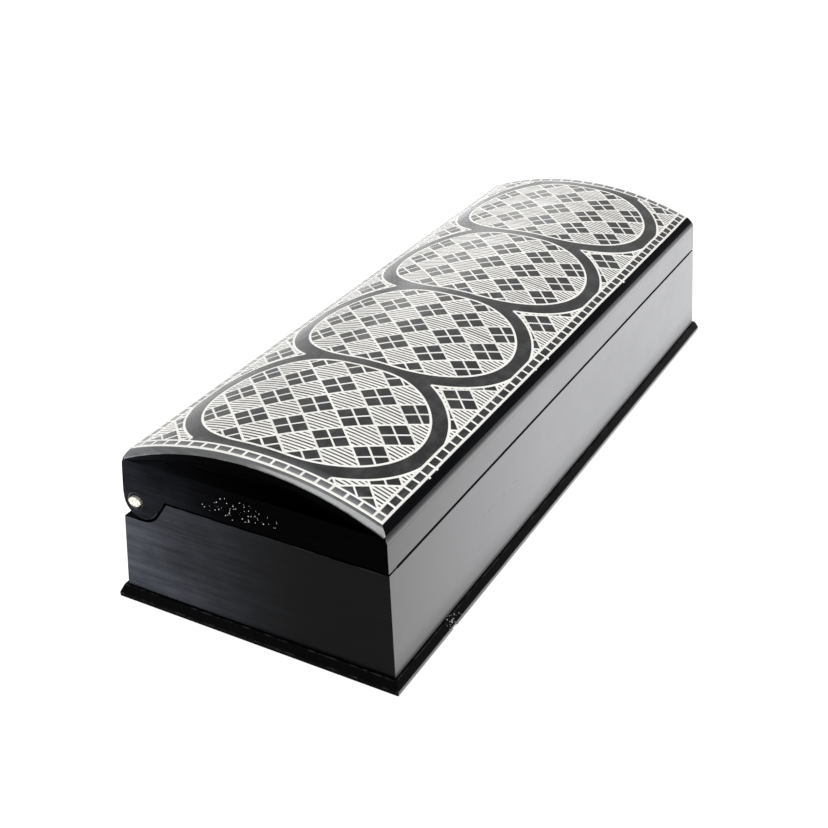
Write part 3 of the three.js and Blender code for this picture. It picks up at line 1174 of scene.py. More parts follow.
@dataclass
class Ear:
    """The round ear at the back of each lid end board, and the notch that it sits in."""

    sizes: BoxSizes
    radius: float = 6.6
    drop: float = 1.4
    flank: float = 56.7
    clearance: float = 0.8
    steps: int = 20

    def board(self, clearance: float, top: float, turn: float, corner: Pair) -> Workpiece:
        """Makes the ear's solid right across the box, or a larger one.

        Args:
            clearance: how much the outline is grown.
            top: the height where it stops.
            turn: how far the round part reaches, in degrees past its lowest point.
            corner: the outline's lower corner at the back, as y and z.

        Returns:
            The solid.
        """
        sizes = self.sizes
        z = sizes.parting - self.drop
        y = sizes.outer_y(z) - self.radius
        radius = self.radius + clearance
        angle = math.radians(self.flank)
        touch = (y - radius * math.sin(angle), z - radius * math.cos(angle))
        outline = Outline(touch[0] - (top - touch[1]) / math.tan(angle), top).line(*touch)
        outline.arc((y, z), self.flank + turn, self.steps)
        outline.line(*corner).line(corner[0], top)
        return outline.board(-sizes.half_length - self.radius, sizes.half_length + self.radius)

    def shape(self) -> Workpiece:
        """The ear's own solid, right across the box."""
        corner = (self.sizes.half_width + self.radius, self.sizes.parting - self.drop)
        return self.board(0.0, self.sizes.lid_edge - self.sizes.panel, 90.0, corner)

    def notch(self) -> Workpiece:
        """What is sawn out of the body's end boards, right across the box.

        Returns:
            The notch as a solid.
        """
        floor = self.sizes.parting - self.drop - self.radius - self.clearance
        corner = (self.sizes.half_width + 2 * self.radius, floor)
        return self.board(self.clearance, self.sizes.lid_edge, 0.0, corner)


@dataclass
class Hinge:
    """The two headed pins that the lid turns on."""

    sizes: BoxSizes
    finishes: Finishes
    inset: float = 4.2
    drop: float = 2.5
    radius: float = 1.3
    length: float = 16.0
    clearance: float = 0.15
    overreach: float = 5.0
    bore_sides: int = 32
    shank_sides: int = 24
    shank_overlap: float = 0.3
    point: float = 0.35
    head_radius: float = 2.35
    head_sides: int = 28
    head_rings: int = 3
    head: float = 1.2
    head_rounding: float = 0.42
    head_squash: float = 0.72
    head_drop: float = 0.25
    pocket: float = 1.0
    pocket_clearance: float = 0.2
    pocket_shift: Pair = (-0.4, 0.2)
    pocket_sides: int = 40
    setting: float = 0.1
    notch_way: Pair = (0.8, 0.6)
    notch_depth: float = 0.22
    notch_width: float = 0.28
    notch_reach: float = 0.9

    @property
    def z(self) -> float:
        """The pins' height."""
        return self.sizes.parting - self.drop

    @property
    def y(self) -> float:
        """The pins' place across the box."""
        return self.sizes.outer_y(self.z) - self.inset

    @property
    def face(self) -> float:
        """Where an ear's outer face is, along the box."""
        return self.sizes.outer_x(self.z)

    @property
    def roll(self) -> float:
        """The radius of the back wall's rounded top."""
        return self.inset * math.cos(math.atan(self.sizes.batter))

    def bore(self, side: Side) -> Workpiece:
        """The hole for a pin, from its tip outwards."""
        span = side.span(self.face - self.length, self.face + self.overreach)
        return Workpiece.rod(self.radius + self.clearance, span, (self.y, self.z), self.bore_sides)

    def head_pocket(self, side: Side) -> Workpiece:
        """The recess for a pin's head in an ear.

        Args:
            side: the ear's end of the box.

        Returns:
            The recess as a solid.
        """
        span = side.span(self.face - self.pocket, self.face + self.overreach)
        axis = (self.y + self.pocket_shift[0], self.z + self.pocket_shift[1])
        radius = self.head_radius + self.pocket_clearance
        return Workpiece.rod(radius, span, axis, self.pocket_sides)

    def build(self) -> None:
        """Builds the two pins."""
        for side in Side:
            self.pin(side)

    def pin(self, side: Side) -> None:
        """Makes one pin: a pointed shank and a head that was filed and hammered by hand.

        Args:
            side: its end of the box.
        """
        seat = self.face - self.pocket + self.setting
        work = self.pin_head(seat)
        end = seat - self.length + self.head
        span = (end, seat + self.shank_overlap)
        shank = Workpiece.rod(self.radius, span, (0, 0), self.shank_sides)
        for vert in shank.bm.verts:
            if vert.co.x < end + 0.01:
                vert.co.y *= self.point
                vert.co.z *= self.point
        work.work_with(shank, Join.ADD)
        work.weather(depth=0.16, size=1.1, seed=5.0, where=lambda place: place.x > seat + 0.2)
        turn = Matrix.Rotation(math.pi, 4, "Z") if side is Side.LEFT else Matrix.Identity(4)
        place = Matrix.Translation((0, self.y, self.z)) @ turn
        bmesh.ops.transform(work.bm, matrix=place, verts=work.bm.verts)
        work.done(
            f"{side.word}_pin", "body", "pin_metal", f"{side.word}_hinge_pin",
            [self.finishes.pin],
        )

    def pin_head(self, seat: float) -> Workpiece:
        """Makes a pin's head, on the X axis and towards +X.

        Args:
            seat: where its underside is.

        Returns:
            The head.
        """
        bm = bmesh.new()
        bmesh.ops.create_circle(
            bm, cap_ends=True, segments=self.head_sides, radius=self.head_radius,
            matrix=Matrix.Translation((seat, 0, 0)) @ ALONG_X,
        )
        grown = grow(bm, bm.faces[:], (self.head, 0, 0))
        top = only(grown, bmesh.types.BMFace)[0]
        round_off(bm, top.edges[:], self.head_rounding, self.head_rings)
        crown = max(bm.faces, key=lambda face: face.calc_center_median().x * 10 + face.calc_area())
        for _ in range(self.head_rings):
            bmesh.ops.inset_region(bm, faces=[crown], thickness=self.head_rounding)
        bmesh.ops.poke(bm, faces=[crown])
        self.notch_head(bm, seat + self.head)
        for vert in bm.verts:
            vert.co.z = vert.co.z * self.head_squash - self.head_drop
        return Workpiece(bm)

    def notch_head(self, bm: bmesh.types.BMesh, top: float) -> None:
        """Presses two short cuts into a pin's head.

        Args:
            bm: the head.
            top: where its top is, along the box.
        """
        crown = [edge for edge in bm.edges if edge.verts[0].co.x > top - 0.1]
        bmesh.ops.subdivide_edges(bm, edges=crown, cuts=1, use_grid_fill=True)
        for vert in bm.verts:
            if vert.co.x < top - 0.3:
                continue
            across = abs(vert.co.y * self.notch_way[0] + vert.co.z * self.notch_way[1])
            if across < self.notch_width and vert.co.z < self.notch_reach:
                vert.co.x -= self.notch_depth


@dataclass
class Lid:
    """The lid's rails, end boards and domed top."""

    sizes: BoxSizes
    finishes: Finishes
    rounding: float = 0.2
    ear_rounding: float = 0.4
    end_arris: float = 0.28
    side_arris: float = 1.1
    crest: float = 1.0
    weld: float = 0.06
    seat: float = 0.05
    overreach: float = 5.0
    open_angle: float = 100.0
    swing: float = 0.3
    dome_steps: int = 72
    hood_steps: int = 8
    under_spread: float = 1.06
    rim: float = 0.3
    skin: float = 0.8
    ear_reach: float = 4.0
    clear_end: float = 9.0
    clear_side: float = 60.0

    @property
    def dome_angle(self) -> float:
        """Half the dome's arc, in degrees."""
        return math.degrees(math.asin(self.sizes.margin_y / self.sizes.dome_radius))

    def build(self) -> None:
        """Builds the five pieces."""
        self.front_rail()
        self.back_rail()
        for side in Side:
            self.end_board(side)
        self.top()

    def arch(self, radius: float, angle: float, floor: float, steps: int) -> Outline:
        """Walks round an arch over the lid, from its right foot to its left one.

        Args:
            radius: the arch's radius.
            angle: half the arch's arc, in degrees.
            floor: the height of its feet.
            steps: the number of straight steps.

        Returns:
            The outline.
        """
        centre, start = self.sizes.dome_centre, math.radians(90 - angle)
        y, z = radius * math.cos(start), centre + radius * math.sin(start)
        outline = Outline(y, floor).line(y, z).arc((0, centre), 2 * angle, steps)
        return outline.line(-y, floor)

    def under_dome(self, reach: float) -> Workpiece:
        """The space under the dome's panel.

        Args:
            reach: how far it goes to either side of the middle.

        Returns:
            The space as a solid.
        """
        radius = self.sizes.dome_radius - self.sizes.panel
        angle = math.degrees(math.asin(self.sizes.half_width * self.under_spread / radius))
        outline = self.arch(radius, angle, self.sizes.lid_bottom, self.dome_steps)
        return outline.board(-reach, reach)

    def front_rail(self) -> None:
        """Makes the front rail."""
        sizes = self.sizes
        work = self.under_dome(sizes.lid_inner_x)
        work.batter_sides(sizes)
        work.slice((0, -sizes.inner_y, 0), (0, 1, 0))
        work.slice((0, 0, sizes.lid_bottom + sizes.shadow_gap), (0, 0, -1))
        work.ease(self.rounding, 2, lambda place: place.z < sizes.lid_bottom + self.rim)
        work.done(
            "front_rail", "lid", "ebony_lid", "lid_front_rail",
            [self.finishes.inside, self.finishes.lid_sides],
            lambda normal: int(normal.y < -FACING),
        )

    def back_rail(self) -> None:
        """Makes the back rail, bevelled so that it lies against the back wall when open."""
        sizes = self.sizes
        hinge = Hinge(sizes, self.finishes)
        work = self.under_dome(sizes.lid_inner_x)
        work.batter_sides(sizes)
        work.slice((0, sizes.inner_y, 0), (0, -1, 0))
        angle = math.atan(sizes.batter) + math.pi + math.radians(self.open_angle)
        under = Vector((0, math.cos(angle), math.sin(angle)))
        work.slice(Vector((0, hinge.y, hinge.z)) - under * (hinge.roll + self.swing), under)
        work.done(
            "back_rail", "lid", "ebony_lid", "lid_back_rail",
            [self.finishes.inside, self.finishes.lid_sides],
            lambda normal: int(normal.y > FACING),
        )

    def end_board(self, side: Side) -> None:
        """Makes an end board with its ear, bored and recessed for the pin.

        Args:
            side: its end of the box.
        """
        sizes, sign = self.sizes, side.value
        hinge = Hinge(sizes, self.finishes)
        work = self.under_dome(sizes.half_length + self.overreach)
        work.slice((0, 0, sizes.lid_bottom + sizes.shadow_gap), (0, 0, -1))
        work.work_with(Ear(sizes).shape(), Join.ADD)
        work.batter_sides(sizes)
        work.slice((sign * sizes.lid_inner_x, 0, 0), (-sign, 0, 0))
        work.work_with(hinge.bore(side), Join.CUT)
        work.work_with(hinge.head_pocket(side), Join.CUT)
        limit = sizes.outer_x(sizes.lid_bottom) - self.skin
        ceiling = sizes.lid_edge - sizes.panel

        def by_ear(place: Vector) -> bool:
            """Says whether an edge is on the outside, around the ear."""
            near = place.z < sizes.lid_bottom - 0.1 or place.y > hinge.y - self.ear_reach
            return near and place.x * sign > limit and place.z < hinge.z + self.ear_reach

        def away_from_ear(place: Vector) -> bool:
            """Says whether an edge is on the outside, away from the ear."""
            return place.x * sign > limit and place.z < ceiling and not by_ear(place)

        work.ease(self.ear_rounding, 3, by_ear, wear=0.5)
        work.ease(self.rounding, 2, away_from_ear)
        work.done(
            f"{side.word}_lid_end", "lid", "ebony_lid", f"lid_{side.word}_end",
            [self.finishes.lid_ends, self.finishes.lid_sides],
            lambda normal: int(abs(normal.y) > FACING),
        )

    def top(self) -> None:
        """Makes the domed top with its sloping margins."""
        sizes, finishes = self.sizes, self.finishes
        reach = sizes.half_length + self.overreach
        work = self.dome(reach)
        work.work_with(self.hood(), Join.TRIM)
        work.batter_sides(sizes)
        hollow = self.under_dome(reach)
        bmesh.ops.translate(hollow.bm, vec=(0, 0, self.seat), verts=hollow.bm.verts)
        far = sizes.half_length + self.clear_end
        low = Workpiece.block(
            (-far, -self.clear_side, 0), (far, self.clear_side, sizes.lid_bottom + 1))
        hollow.work_with(low, Join.ADD)
        work.work_with(hollow, Join.CUT)
        bmesh.ops.remove_doubles(work.bm, verts=work.bm.verts, dist=self.weld)
        end, edge = sizes.outer_x(sizes.lid_edge), sizes.outer_y(sizes.lid_edge)

        def at_crest(place: Vector) -> bool:
            """Says whether an edge is where the dome turns into a margin.

            Args:
                place: the edge's middle.

            Returns:
                Whether it is.
            """
            at_end = abs(abs(place.x) - end + sizes.end_margin) < 0.1
            at_side = abs(abs(place.y) - sizes.margin_y) < 0.1
            return place.z > sizes.lid_edge + 0.3 and (at_end or at_side)

        def at_end_arris(place: Vector) -> bool:
            """Says whether an edge is on an end's arc."""
            height = math.hypot(place.y, place.z - sizes.dome_centre)
            return height > sizes.end_arc_radius - 0.6 and abs(place.x) > (
                sizes.outer_x(place.z) - 0.15)

        def at_side_arris(place: Vector) -> bool:
            """Says whether an edge is between a side margin and a side."""
            return abs(place.y) > edge - 0.3 and abs(place.z - sizes.lid_edge) < 0.3

        work.ease(self.side_arris, 5, at_side_arris, clamp=False)
        work.ease(self.crest, 4, at_crest, clamp=False)
        work.ease(self.end_arris, 3, at_end_arris, wear=0.3, clamp=False)
        work.done(
            "domed_top", "lid", "ebony_lid", "lid_top",
            [
                finishes.top, finishes.lid_sides, finishes.lid_ends, finishes.margin,
                finishes.rim, finishes.inside,
            ],
            TopPart.facing,
        )

    def dome(self, reach: float) -> Workpiece:
        """The dome with its sloping side margins.

        Args:
            reach: how far it goes to either side of the middle.

        Returns:
            The dome as a solid.
        """
        sizes, angle = self.sizes, self.dome_angle
        margin_z = sizes.dome_centre + sizes.dome_radius * math.cos(math.radians(angle))
        slope = (margin_z - sizes.lid_edge) / sizes.side_margin
        wide = sizes.half_width + 1
        edge = margin_z - (wide - sizes.margin_y) * slope
        outline = Outline(wide, sizes.parting).line(wide, edge).line(sizes.margin_y, margin_z)
        outline.arc((0, sizes.dome_centre), 2 * angle, self.dome_steps)
        outline.line(-wide, edge).line(-wide, sizes.parting)
        return outline.board(-reach, reach)

    def hood(self) -> Workpiece:
        """A wide half-round hood over the lid, whose ends slope down to the lid's end arcs.

        Returns:
            The hood as a solid.
        """
        sizes = self.sizes
        steps = self.dome_steps + 2 * self.hood_steps
        angle = self.dome_angle * steps / self.dome_steps
        half = sizes.outer_x(sizes.lid_edge) - sizes.end_margin
        outline = self.arch(sizes.dome_radius + self.seat / 2, angle, sizes.base_top, steps)
        work = outline.board(-half, half)
        share = sizes.end_arc_radius / sizes.dome_radius
        centre = Matrix.Translation((0, 0, -sizes.dome_centre))
        for sign in (-1, 1):
            cap = [
                face for face in work.bm.faces
                if abs(face.calc_center_median().x - sign * half) < 0.01
            ]
            grown = grow(work.bm, cap, (sign * sizes.end_margin, 0, 0))
            bmesh.ops.delete(work.bm, geom=[face for face in cap if face.is_valid], context="FACES")
            verts = only(grown, bmesh.types.BMVert)
            bmesh.ops.scale(work.bm, vec=(1, share, share), space=centre, verts=verts)
        bmesh.ops.recalc_face_normals(work.bm, faces=work.bm.faces)
        return work


@dataclass(frozen=True)
class DomeField:
    """The unrolled dome and where its inlay lies."""

    sizes: BoxSizes
    end_inset: float = 2.4
    side_inset: float = 2.9
    ladder: float = 3.1
    count: int = 4
    neck: float = 3.7
    end_neck: float = 3.5
    band: float = 5.7
    wire: float = 0.7
    corner_trim: float = 4.5
    tail_share: float = 0.6

    @property
    def ladder_x(self) -> float:
        """Where the ladder's outer line is at the ends."""
        return self.sizes.outer_x(self.sizes.lid_edge) - self.end_inset

    @property
    def ladder_s(self) -> float:
        """Where the ladder's outer line is at the sides."""
        radius, half = self.sizes.dome_radius, self.sizes.outer_y(self.sizes.lid_edge)
        return radius * math.asin(half / radius) - self.side_inset

    @property
    def field_x(self) -> float:
        """Where the ladder's inner line is at the ends."""
        return self.ladder_x - self.ladder

    @property
    def field_s(self) -> float:
        """Where the ladder's inner line is at the sides."""
        return self.ladder_s - self.ladder

    @property
    def ring_radius(self) -> float:
        """The outer radius of an oval's ring."""
        gaps = (self.count - 1) * self.neck + 2 * self.end_neck
        return (2 * self.field_x - gaps) / (2 * self.count)

    @property
    def pitch(self) -> float:
        """The distance between ovals."""
        return 2 * self.ring_radius + self.neck

    @property
    def band_radius(self) -> float:
        """The outer radius of the dark band round an oval."""
        return self.ring_radius - self.wire + self.band

    @property
    def straight(self) -> float:
        """Half the length of an oval's straight sides."""
        return self.field_s + self.wire / 2 - self.band_radius

    def oval_x(self, number: int) -> float:
        """The place of an oval along the box, counted from 0 at the left."""
        return (number - (self.count - 1) / 2) * self.pitch

    def from_oval(self, x: float, s: float, centre: float) -> float:
        """The distance from an oval's centre line to a point."""
        return math.hypot(x - centre, max(abs(s) - self.straight, 0.0))


@dataclass(frozen=True)
class LatticeCell:
    """The lattice's sizes: a diamond's diagonals, its strips' widths and lifts, and their play."""

    length: float = 13.45
    depth: float = 13.9
    wire: float = 0.82
    split: float = 0.72
    hatch: float = 0.93
    pitch: float = 1.42
    hatches: int = 4
    tuck: float = 0.15
    check_lifts: Pair = (0.004, 0.010)
    line_lifts: Pair = (0.016, 0.022)
    line_bend: float = 0.12
    check_slip: float = 0.1
    hatch_slip: float = 0.15
    hatch_lean: float = 0.25
    hatch_play: float = 0.07


@dataclass
class WireWork:
    """Strips of wire for one inlay node, laid flat and then bent onto the dome."""

    field: DomeField
    seed: int
    cell: LatticeCell = LatticeCell()
    depth: float = 0.3
    proud: float = 0.03
    chamfer: float = 0.07
    step: float = 2.6
    clip_step: float = 0.3
    clip_halvings: int = 12
    shortest: float = 0.45
    arc_step: float = 0.6
    level_play: float = 0.004
    width_play: Pair = (0.92, 1.08)
    waver: float = 0.16
    waver_size: float = 17.0

    def __post_init__(self) -> None:
        """Starts an empty node."""
        self.random = random.Random(self.seed)
        self.bm = bmesh.new()
        self.tone = self.bm.verts.layers.float.new(TONE)

    def strip(self, start: Pair, end: Pair, lift: float, width: float = LatticeCell.wire) -> None:
        """Lays one straight strip, with a tone of its own.

        Args:
            start: its first end, as x and s.
            end: its other end.
            lift: how far its face stands over the others.
            width: its width.
        """
        along = Vector((end[0] - start[0], end[1] - start[1]))
        middle = Vector((end[0] + start[0], end[1] + start[1])) / 2
        height = lift + self.random.uniform(0, self.level_play)
        breadth = width * self.random.uniform(*self.width_play)
        place = (
            Matrix.Translation((*middle, height))
            @ Matrix.Rotation(math.atan2(along.y, along.x), 4, "Z")
            @ Matrix.Diagonal((along.length, breadth, 1, 1))
        )
        made = bmesh.ops.create_grid(
            self.bm, x_segments=max(1, math.ceil(along.length / self.step)), y_segments=1,
            size=0.5, matrix=place,
        )
        tone = self.random.random()
        for vert in made["verts"]:
            vert[self.tone] = tone

    def clipped(self, start: Pair, end: Pair, lift: float, width: float, inside: Area) -> None:
        """Lays a strip only where a test says, cut at the test's edges.

        Args:
            start: its first end, as x and s.
            end: its other end.
            lift: how far its face stands over the others.
            width: its width.
            inside: the test on a point.
        """
        first, last = Vector(start), Vector(end)
        length = (last - first).length
        count = max(2, math.ceil(length / self.clip_step))

        def within(share: float) -> bool:
            """Says whether the place at a share of the strip's length is inside."""
            return inside(*first.lerp(last, share))

        edges, was = [], False
        for i in range(count + 1):
            now = within(i / count)
            if now != was:
                edges.append(self.edge_share(within, (i - 1) / count, i / count) if i else 0.0)
            was = now
        if was:
            edges.append(1.0)
        for low, high in zip(edges[::2], edges[1::2]):
            if (high - low) * length > self.shortest:
                self.strip(tuple(first.lerp(last, low)), tuple(first.lerp(last, high)), lift, width)

    def edge_share(self, within: Callable[[float], bool], low: float, high: float) -> float:
        """Halves a stretch again and again to find where a test changes.

        Args:
            within: the test on a place, given as a share of a strip's length.
            low: where the stretch starts.
            high: where it ends.

        Returns:
            The share where the test changes.
        """
        at_low = within(low)
        for _ in range(self.clip_halvings):
            middle = (low + high) / 2
            if within(middle) == at_low:
                low = middle
            else:
                high = middle
        return (low + high) / 2

    def arc(self, centre: Pair, radius: float, start: float, turn: float, lift: float) -> None:
        """Lays a strip along an arc.

        Args:
            centre: the arc's centre, as x and s.
            radius: the radius of the strip's middle.
            start: the start angle in degrees.
            turn: the turn in degrees.
            lift: how far its face stands over the others.
        """
        angle, half = math.radians(start), self.cell.wire / 2
        ends = [
            self.bm.verts.new((
                centre[0] + reach * math.cos(angle), centre[1] + reach * math.sin(angle), lift))
            for reach in (radius - half, radius + half)
        ]
        edge = self.bm.edges.new(ends)
        steps = max(3, math.ceil(abs(math.radians(turn)) * radius / (self.arc_step * self.step)))
        bmesh.ops.spin(
            self.bm, geom=[*ends, edge], cent=(*centre, lift), axis=(0, 0, 1),
            angle=math.radians(turn), steps=steps, use_duplicate=False,
        )

    def lattice(self, centre: Pair, reach: Pair, inside: Area) -> None:
        """Fills an area with the lattice: checked dark diamonds and hatched ones.

        Args:
            centre: the middle of a dark diamond, as x and s.
            reach: how far the lattice goes from there.
            inside: the area's test.
        """
        a, b = self.cell.length, self.cell.depth
        cx, cs = centre
        rows = math.ceil(reach[0] / a + reach[1] / b)
        tall = reach[1] / b + 1
        for i in range(-rows, rows):
            offset = cx + (i + 0.5) * a
            for lean, lift in zip((1, -1), self.cell.line_lifts):
                bend = self.random.uniform(-self.cell.line_bend, self.cell.line_bend)
                start = (offset + bend - lean * tall * a, cs - tall * b)
                end = (offset - bend + lean * tall * a, cs + tall * b)
                self.clipped(start, end, lift, self.cell.wire, inside)
        for i in range(-2 * rows, 2 * rows + 1):
            for j in range(-2 * rows, 2 * rows + 1):
                x, s = cx + i * a / 2, cs + j * b / 2
                far = abs(x - cx) > reach[0] + a or abs(s - cs) > reach[1] + b
                if (i + j) % 2 or far:
                    continue
                fill = self.hatch if i % 2 else self.check
                fill(x, s, inside)

    def check(self, x: float, s: float, inside: Area) -> None:
        """Divides a dark diamond into four.

        Args:
            x: the diamond's place along the box.
            s: its place around the dome.
            inside: the area's test.
        """
        a, b, play = self.cell.length / 4, self.cell.depth / 4, self.cell.check_slip
        for lean, lift in zip((1, -1), self.cell.check_lifts):
            slip = self.random.uniform(-play, play)
            start, end = (x - a + slip, s - lean * b), (x + a + slip, s + lean * b)
            self.clipped(start, end, lift, self.cell.split, inside)

    def hatch(self, x: float, s: float, inside: Area) -> None:
        """Fills a diamond with strips laid across the box.

        Args:
            x: the diamond's place along the box.
            s: its place around the dome.
            inside: the area's test.
        """
        cell = self.cell
        slip = self.random.uniform(-cell.hatch_slip, cell.hatch_slip)
        lean = self.random.uniform(-cell.hatch_lean, cell.hatch_lean)
        for i in range(-cell.hatches, cell.hatches + 1):
            play = self.random.uniform(-cell.hatch_play, cell.hatch_play)
            offset = i * cell.pitch + slip + play
            half = cell.depth / 2 * (1 - abs(offset) / (cell.length / 2)) + cell.tuck
            if half > self.shortest:
                tilt = lean * half / cell.depth
                start, end = (x + offset - tilt, s - half), (x + offset + tilt, s + half)
                self.clipped(start, end, 0.0, cell.hatch, inside)

    def done(self, name: str, node: str, material: bpy.types.Material) -> None:
        """Gives the strips their thickness, bends them onto the dome and finishes the node.

        Args:
            name: the finished piece's name.
            node: the frame's node that it stands for.
            material: its metal.
        """
        bm = self.bm
        bmesh.ops.recalc_face_normals(bm, faces=bm.faces)
        turned = [face for face in bm.faces if face.normal.z < 0]
        bmesh.ops.reverse_faces(bm, faces=turned)
        grow(bm, bm.faces[:], (0, 0, -self.depth))
        bmesh.ops.recalc_face_normals(bm, faces=bm.faces)
        rim = [
            edge for edge in bm.edges
            if min(vert.co.z for vert in edge.verts) > -self.depth / 2
            and edge.calc_face_angle(0) > SHARP_ANGLE
        ]
        round_off(bm, rim, self.chamfer, 1)
        self.bend()
        Workpiece(bm).done(name, "lid", "white_metal", node, [material])

    def bend(self) -> None:
        """Wavers the strips a little, as laid by hand, and wraps them round the dome."""
        radius, centre = self.field.sizes.dome_radius, self.field.sizes.dome_centre
        for vert in self.bm.verts:
            x, s, height = vert.co
            shift = drift(Vector((x, s, 0)) / self.waver_size) * self.waver
            angle = (s + shift.y) / radius
            reach = radius + self.proud + height
            vert.co = (x + shift.x, reach * math.sin(angle), centre + reach * math.cos(angle))


@dataclass
class Inlay:
    """The white metal inlay: ladder border, ovals and the patches between them."""

    sizes: BoxSizes
    finishes: Finishes
    cell: LatticeCell = LatticeCell()
    cells_along: int = 53
    cells_across: int = 17
    nub_chance: float = 0.16
    nub: Pair = (0.6, 1.0)
    slip: float = 0.14
    tilt: float = 0.12
    overlap: float = 0.3

    def __post_init__(self) -> None:
        """Unrolls the dome."""
        self.field = DomeField(self.sizes)
        self.band_wire = self.field.band_radius + self.cell.wire / 2

    def build(self) -> None:
        """Builds the fifteen inlay nodes."""
        self.ladder()
        for number in range(self.field.count):
            self.oval(number)
        for number in range(self.field.count - 1):
            for face in Face:
                self.spandrel(number, face)
        for side in Side:
            for face in Face:
                self.corner(side, face)

    def ladder(self) -> None:
        """Makes the ladder border along all four sides."""
        field, wires = self.field, WireWork(self.field, 11)
        over = self.cell.wire / 2
        for sign in (-1, 1):
            for x, s in ((field.ladder_x, field.ladder_s), (field.field_x, field.field_s)):
                wires.strip((-x - over, sign * s), (x + over, sign * s), lift=0.034)
                wires.strip((sign * x, -s - over), (sign * x, s + over), lift=0.040)
            self.rungs(wires, sign, along=True)
            self.rungs(wires, sign, along=False)
        wires.done("ladder_border", "inlay_ladder", self.finishes.metal)

    def rungs(self, wires: WireWork, sign: int, along: bool) -> None:
        """Lays the rungs of one side of the ladder. A few on the long sides stick out as nubs.

        Args:
            wires: the ladder's strips.
            sign: which of the two long or short sides it is.
            along: whether it is a long side.
        """
        field, lot = self.field, wires.random
        count, reach = self.cells_across, field.field_s
        inner, outer = field.field_x, field.ladder_x
        if along:
            count, reach = self.cells_along, field.field_x
            inner, outer = field.field_s, field.ladder_s
        for i in range(count + 1):
            place = reach * (2 * i / count - 1) + lot.uniform(-self.slip, self.slip)
            nub = lot.uniform(*self.nub) if along and lot.random() < self.nub_chance else 0.0
            tilt = lot.uniform(-self.tilt, self.tilt)
            start, end = (place - tilt, sign * inner), (place + tilt, sign * (outer + nub))
            way = 1 if along else -1
            wires.strip(start[::way], end[::way], lift=0.026)

    def oval(self, number: int) -> None:
        """Makes one oval: its ring and the lattice that fills it.

        Args:
            number: the oval's number, counted from 0 at the left.
        """
        field, wires = self.field, WireWork(self.field, 21 + number)
        centre = field.oval_x(number)
        radius = field.ring_radius - field.wire / 2
        tall = field.straight + self.overlap
        for sign in (-1, 1):
            wires.arc((centre, sign * field.straight), radius, 90 - 90 * sign, 180, lift=0.040)
            x = centre + sign * radius
            wires.strip((x, -tall), (x, tall), lift=0.030)

        def inside(x: float, s: float) -> bool:
            """Says whether a point is in the oval."""
            return field.from_oval(x, s, centre) < radius

        wires.lattice((centre, 0.0), (radius, radius + field.straight), inside)
        wires.done(f"oval_{number + 1}", f"inlay_oval_{number + 1}", self.finishes.metal)

    def edge_angle(self) -> float:
        """The angle at which a band's outline meets the ladder."""
        rise = self.field.field_s - self.field.straight
        return math.degrees(math.asin(rise / self.band_wire))

    def spandrel(self, number: int, face: Face) -> None:
        """Makes the three-sided patch between two ovals and the ladder.

        Args:
            number: the left oval's number.
            face: the side of the box.
        """
        sign, reach = face.value, self.band_wire
        field, wires = self.field, WireWork(self.field, 41 + 2 * number + sign)
        left, right = field.oval_x(number), field.oval_x(number + 1)
        apex = math.degrees(math.acos((field.pitch / 2) / reach))
        turn = sign * (self.edge_angle() - apex)
        wires.arc((left, sign * field.straight), reach, sign * apex, turn, lift=0.032)
        wires.arc((right, sign * field.straight), reach, 180 - sign * apex, -turn, lift=0.038)

        def inside(x: float, s: float) -> bool:
            """Says whether a point is in the patch."""
            clear = min(field.from_oval(x, s, left), field.from_oval(x, s, right))
            return clear > reach and left < x < right and field.straight < sign * s < field.field_s

        middle = ((left + right) / 2, sign * (field.field_s - self.cell.depth / 2))
        wires.lattice(middle, (field.pitch / 2, reach), inside)
        name = f"{face.word}_spandrel_{number + 1}"
        wires.done(name, f"inlay_{name}", self.finishes.metal)

    def corner(self, side: Side, face: Face) -> None:
        """Makes the patch in one corner of the ladder, with its thin tail under the oval.

        Args:
            side: the end of the box.
            face: the side of the box.
        """
        along, across, reach = side.value, face.value, self.band_wire
        field, wires = self.field, WireWork(self.field, 61 + 2 * along + across)
        centre = field.oval_x(0 if side is Side.LEFT else field.count - 1)
        tip = math.sqrt(reach**2 - (abs(centre) - field.field_x) ** 2)
        top = field.straight + tip + field.corner_trim
        low = min(top, field.straight + reach * field.tail_share)
        start = math.degrees(math.asin((top - field.straight) / reach))
        turn = along * across * (self.edge_angle() - start)
        first = across * start if side is Side.RIGHT else 180 - across * start
        wires.arc((centre, across * field.straight), reach, first, turn, lift=0.032)
        touch = centre + along * reach * math.cos(math.radians(start))
        wires.strip((touch, across * top), (along * field.field_x, across * top), lift=0.027)

        def inside(x: float, s: float) -> bool:
            """Says whether a point is in the patch or its tail."""
            within = abs(x) < field.field_x and low < across * s < field.field_s
            return within and x * along > abs(centre) and field.from_oval(x, s, centre) > reach

        middle = (along * field.field_x, across * (field.field_s - self.cell.depth / 2))
        wires.lattice(middle, (reach, reach), inside)
        wires.done(
            f"{side.word}_{face.word}_corner", f"inlay_corner_{side.word}_{face.word}",
            self.finishes.metal)


@dataclass(frozen=True)
class Lamp:
    """A soft square lamp, with sizes in millimetres and power in watts."""

    name: str
    place: Point
    target: Point
    width: float
    height: float
    power: float

    def hang(self) -> None:
        """Hangs the lamp."""
        data = bpy.data.lights.new(self.name, "AREA")
        data.shape = "RECTANGLE"
        data.size = self.width * METRES_PER_MM
        data.size_y = self.height * METRES_PER_MM
        data.energy = self.power
        item = bpy.data.objects.new(self.name, data)
        toward = (Vector(self.target) - Vector(self.place)).normalized()
        turn = toward.to_track_quat("-Z", "Y").to_matrix().to_4x4()
        item.matrix_world = Matrix.Translation(Vector(self.place) * METRES_PER_MM) @ turn
        bpy.context.scene.collection.objects.link(item)


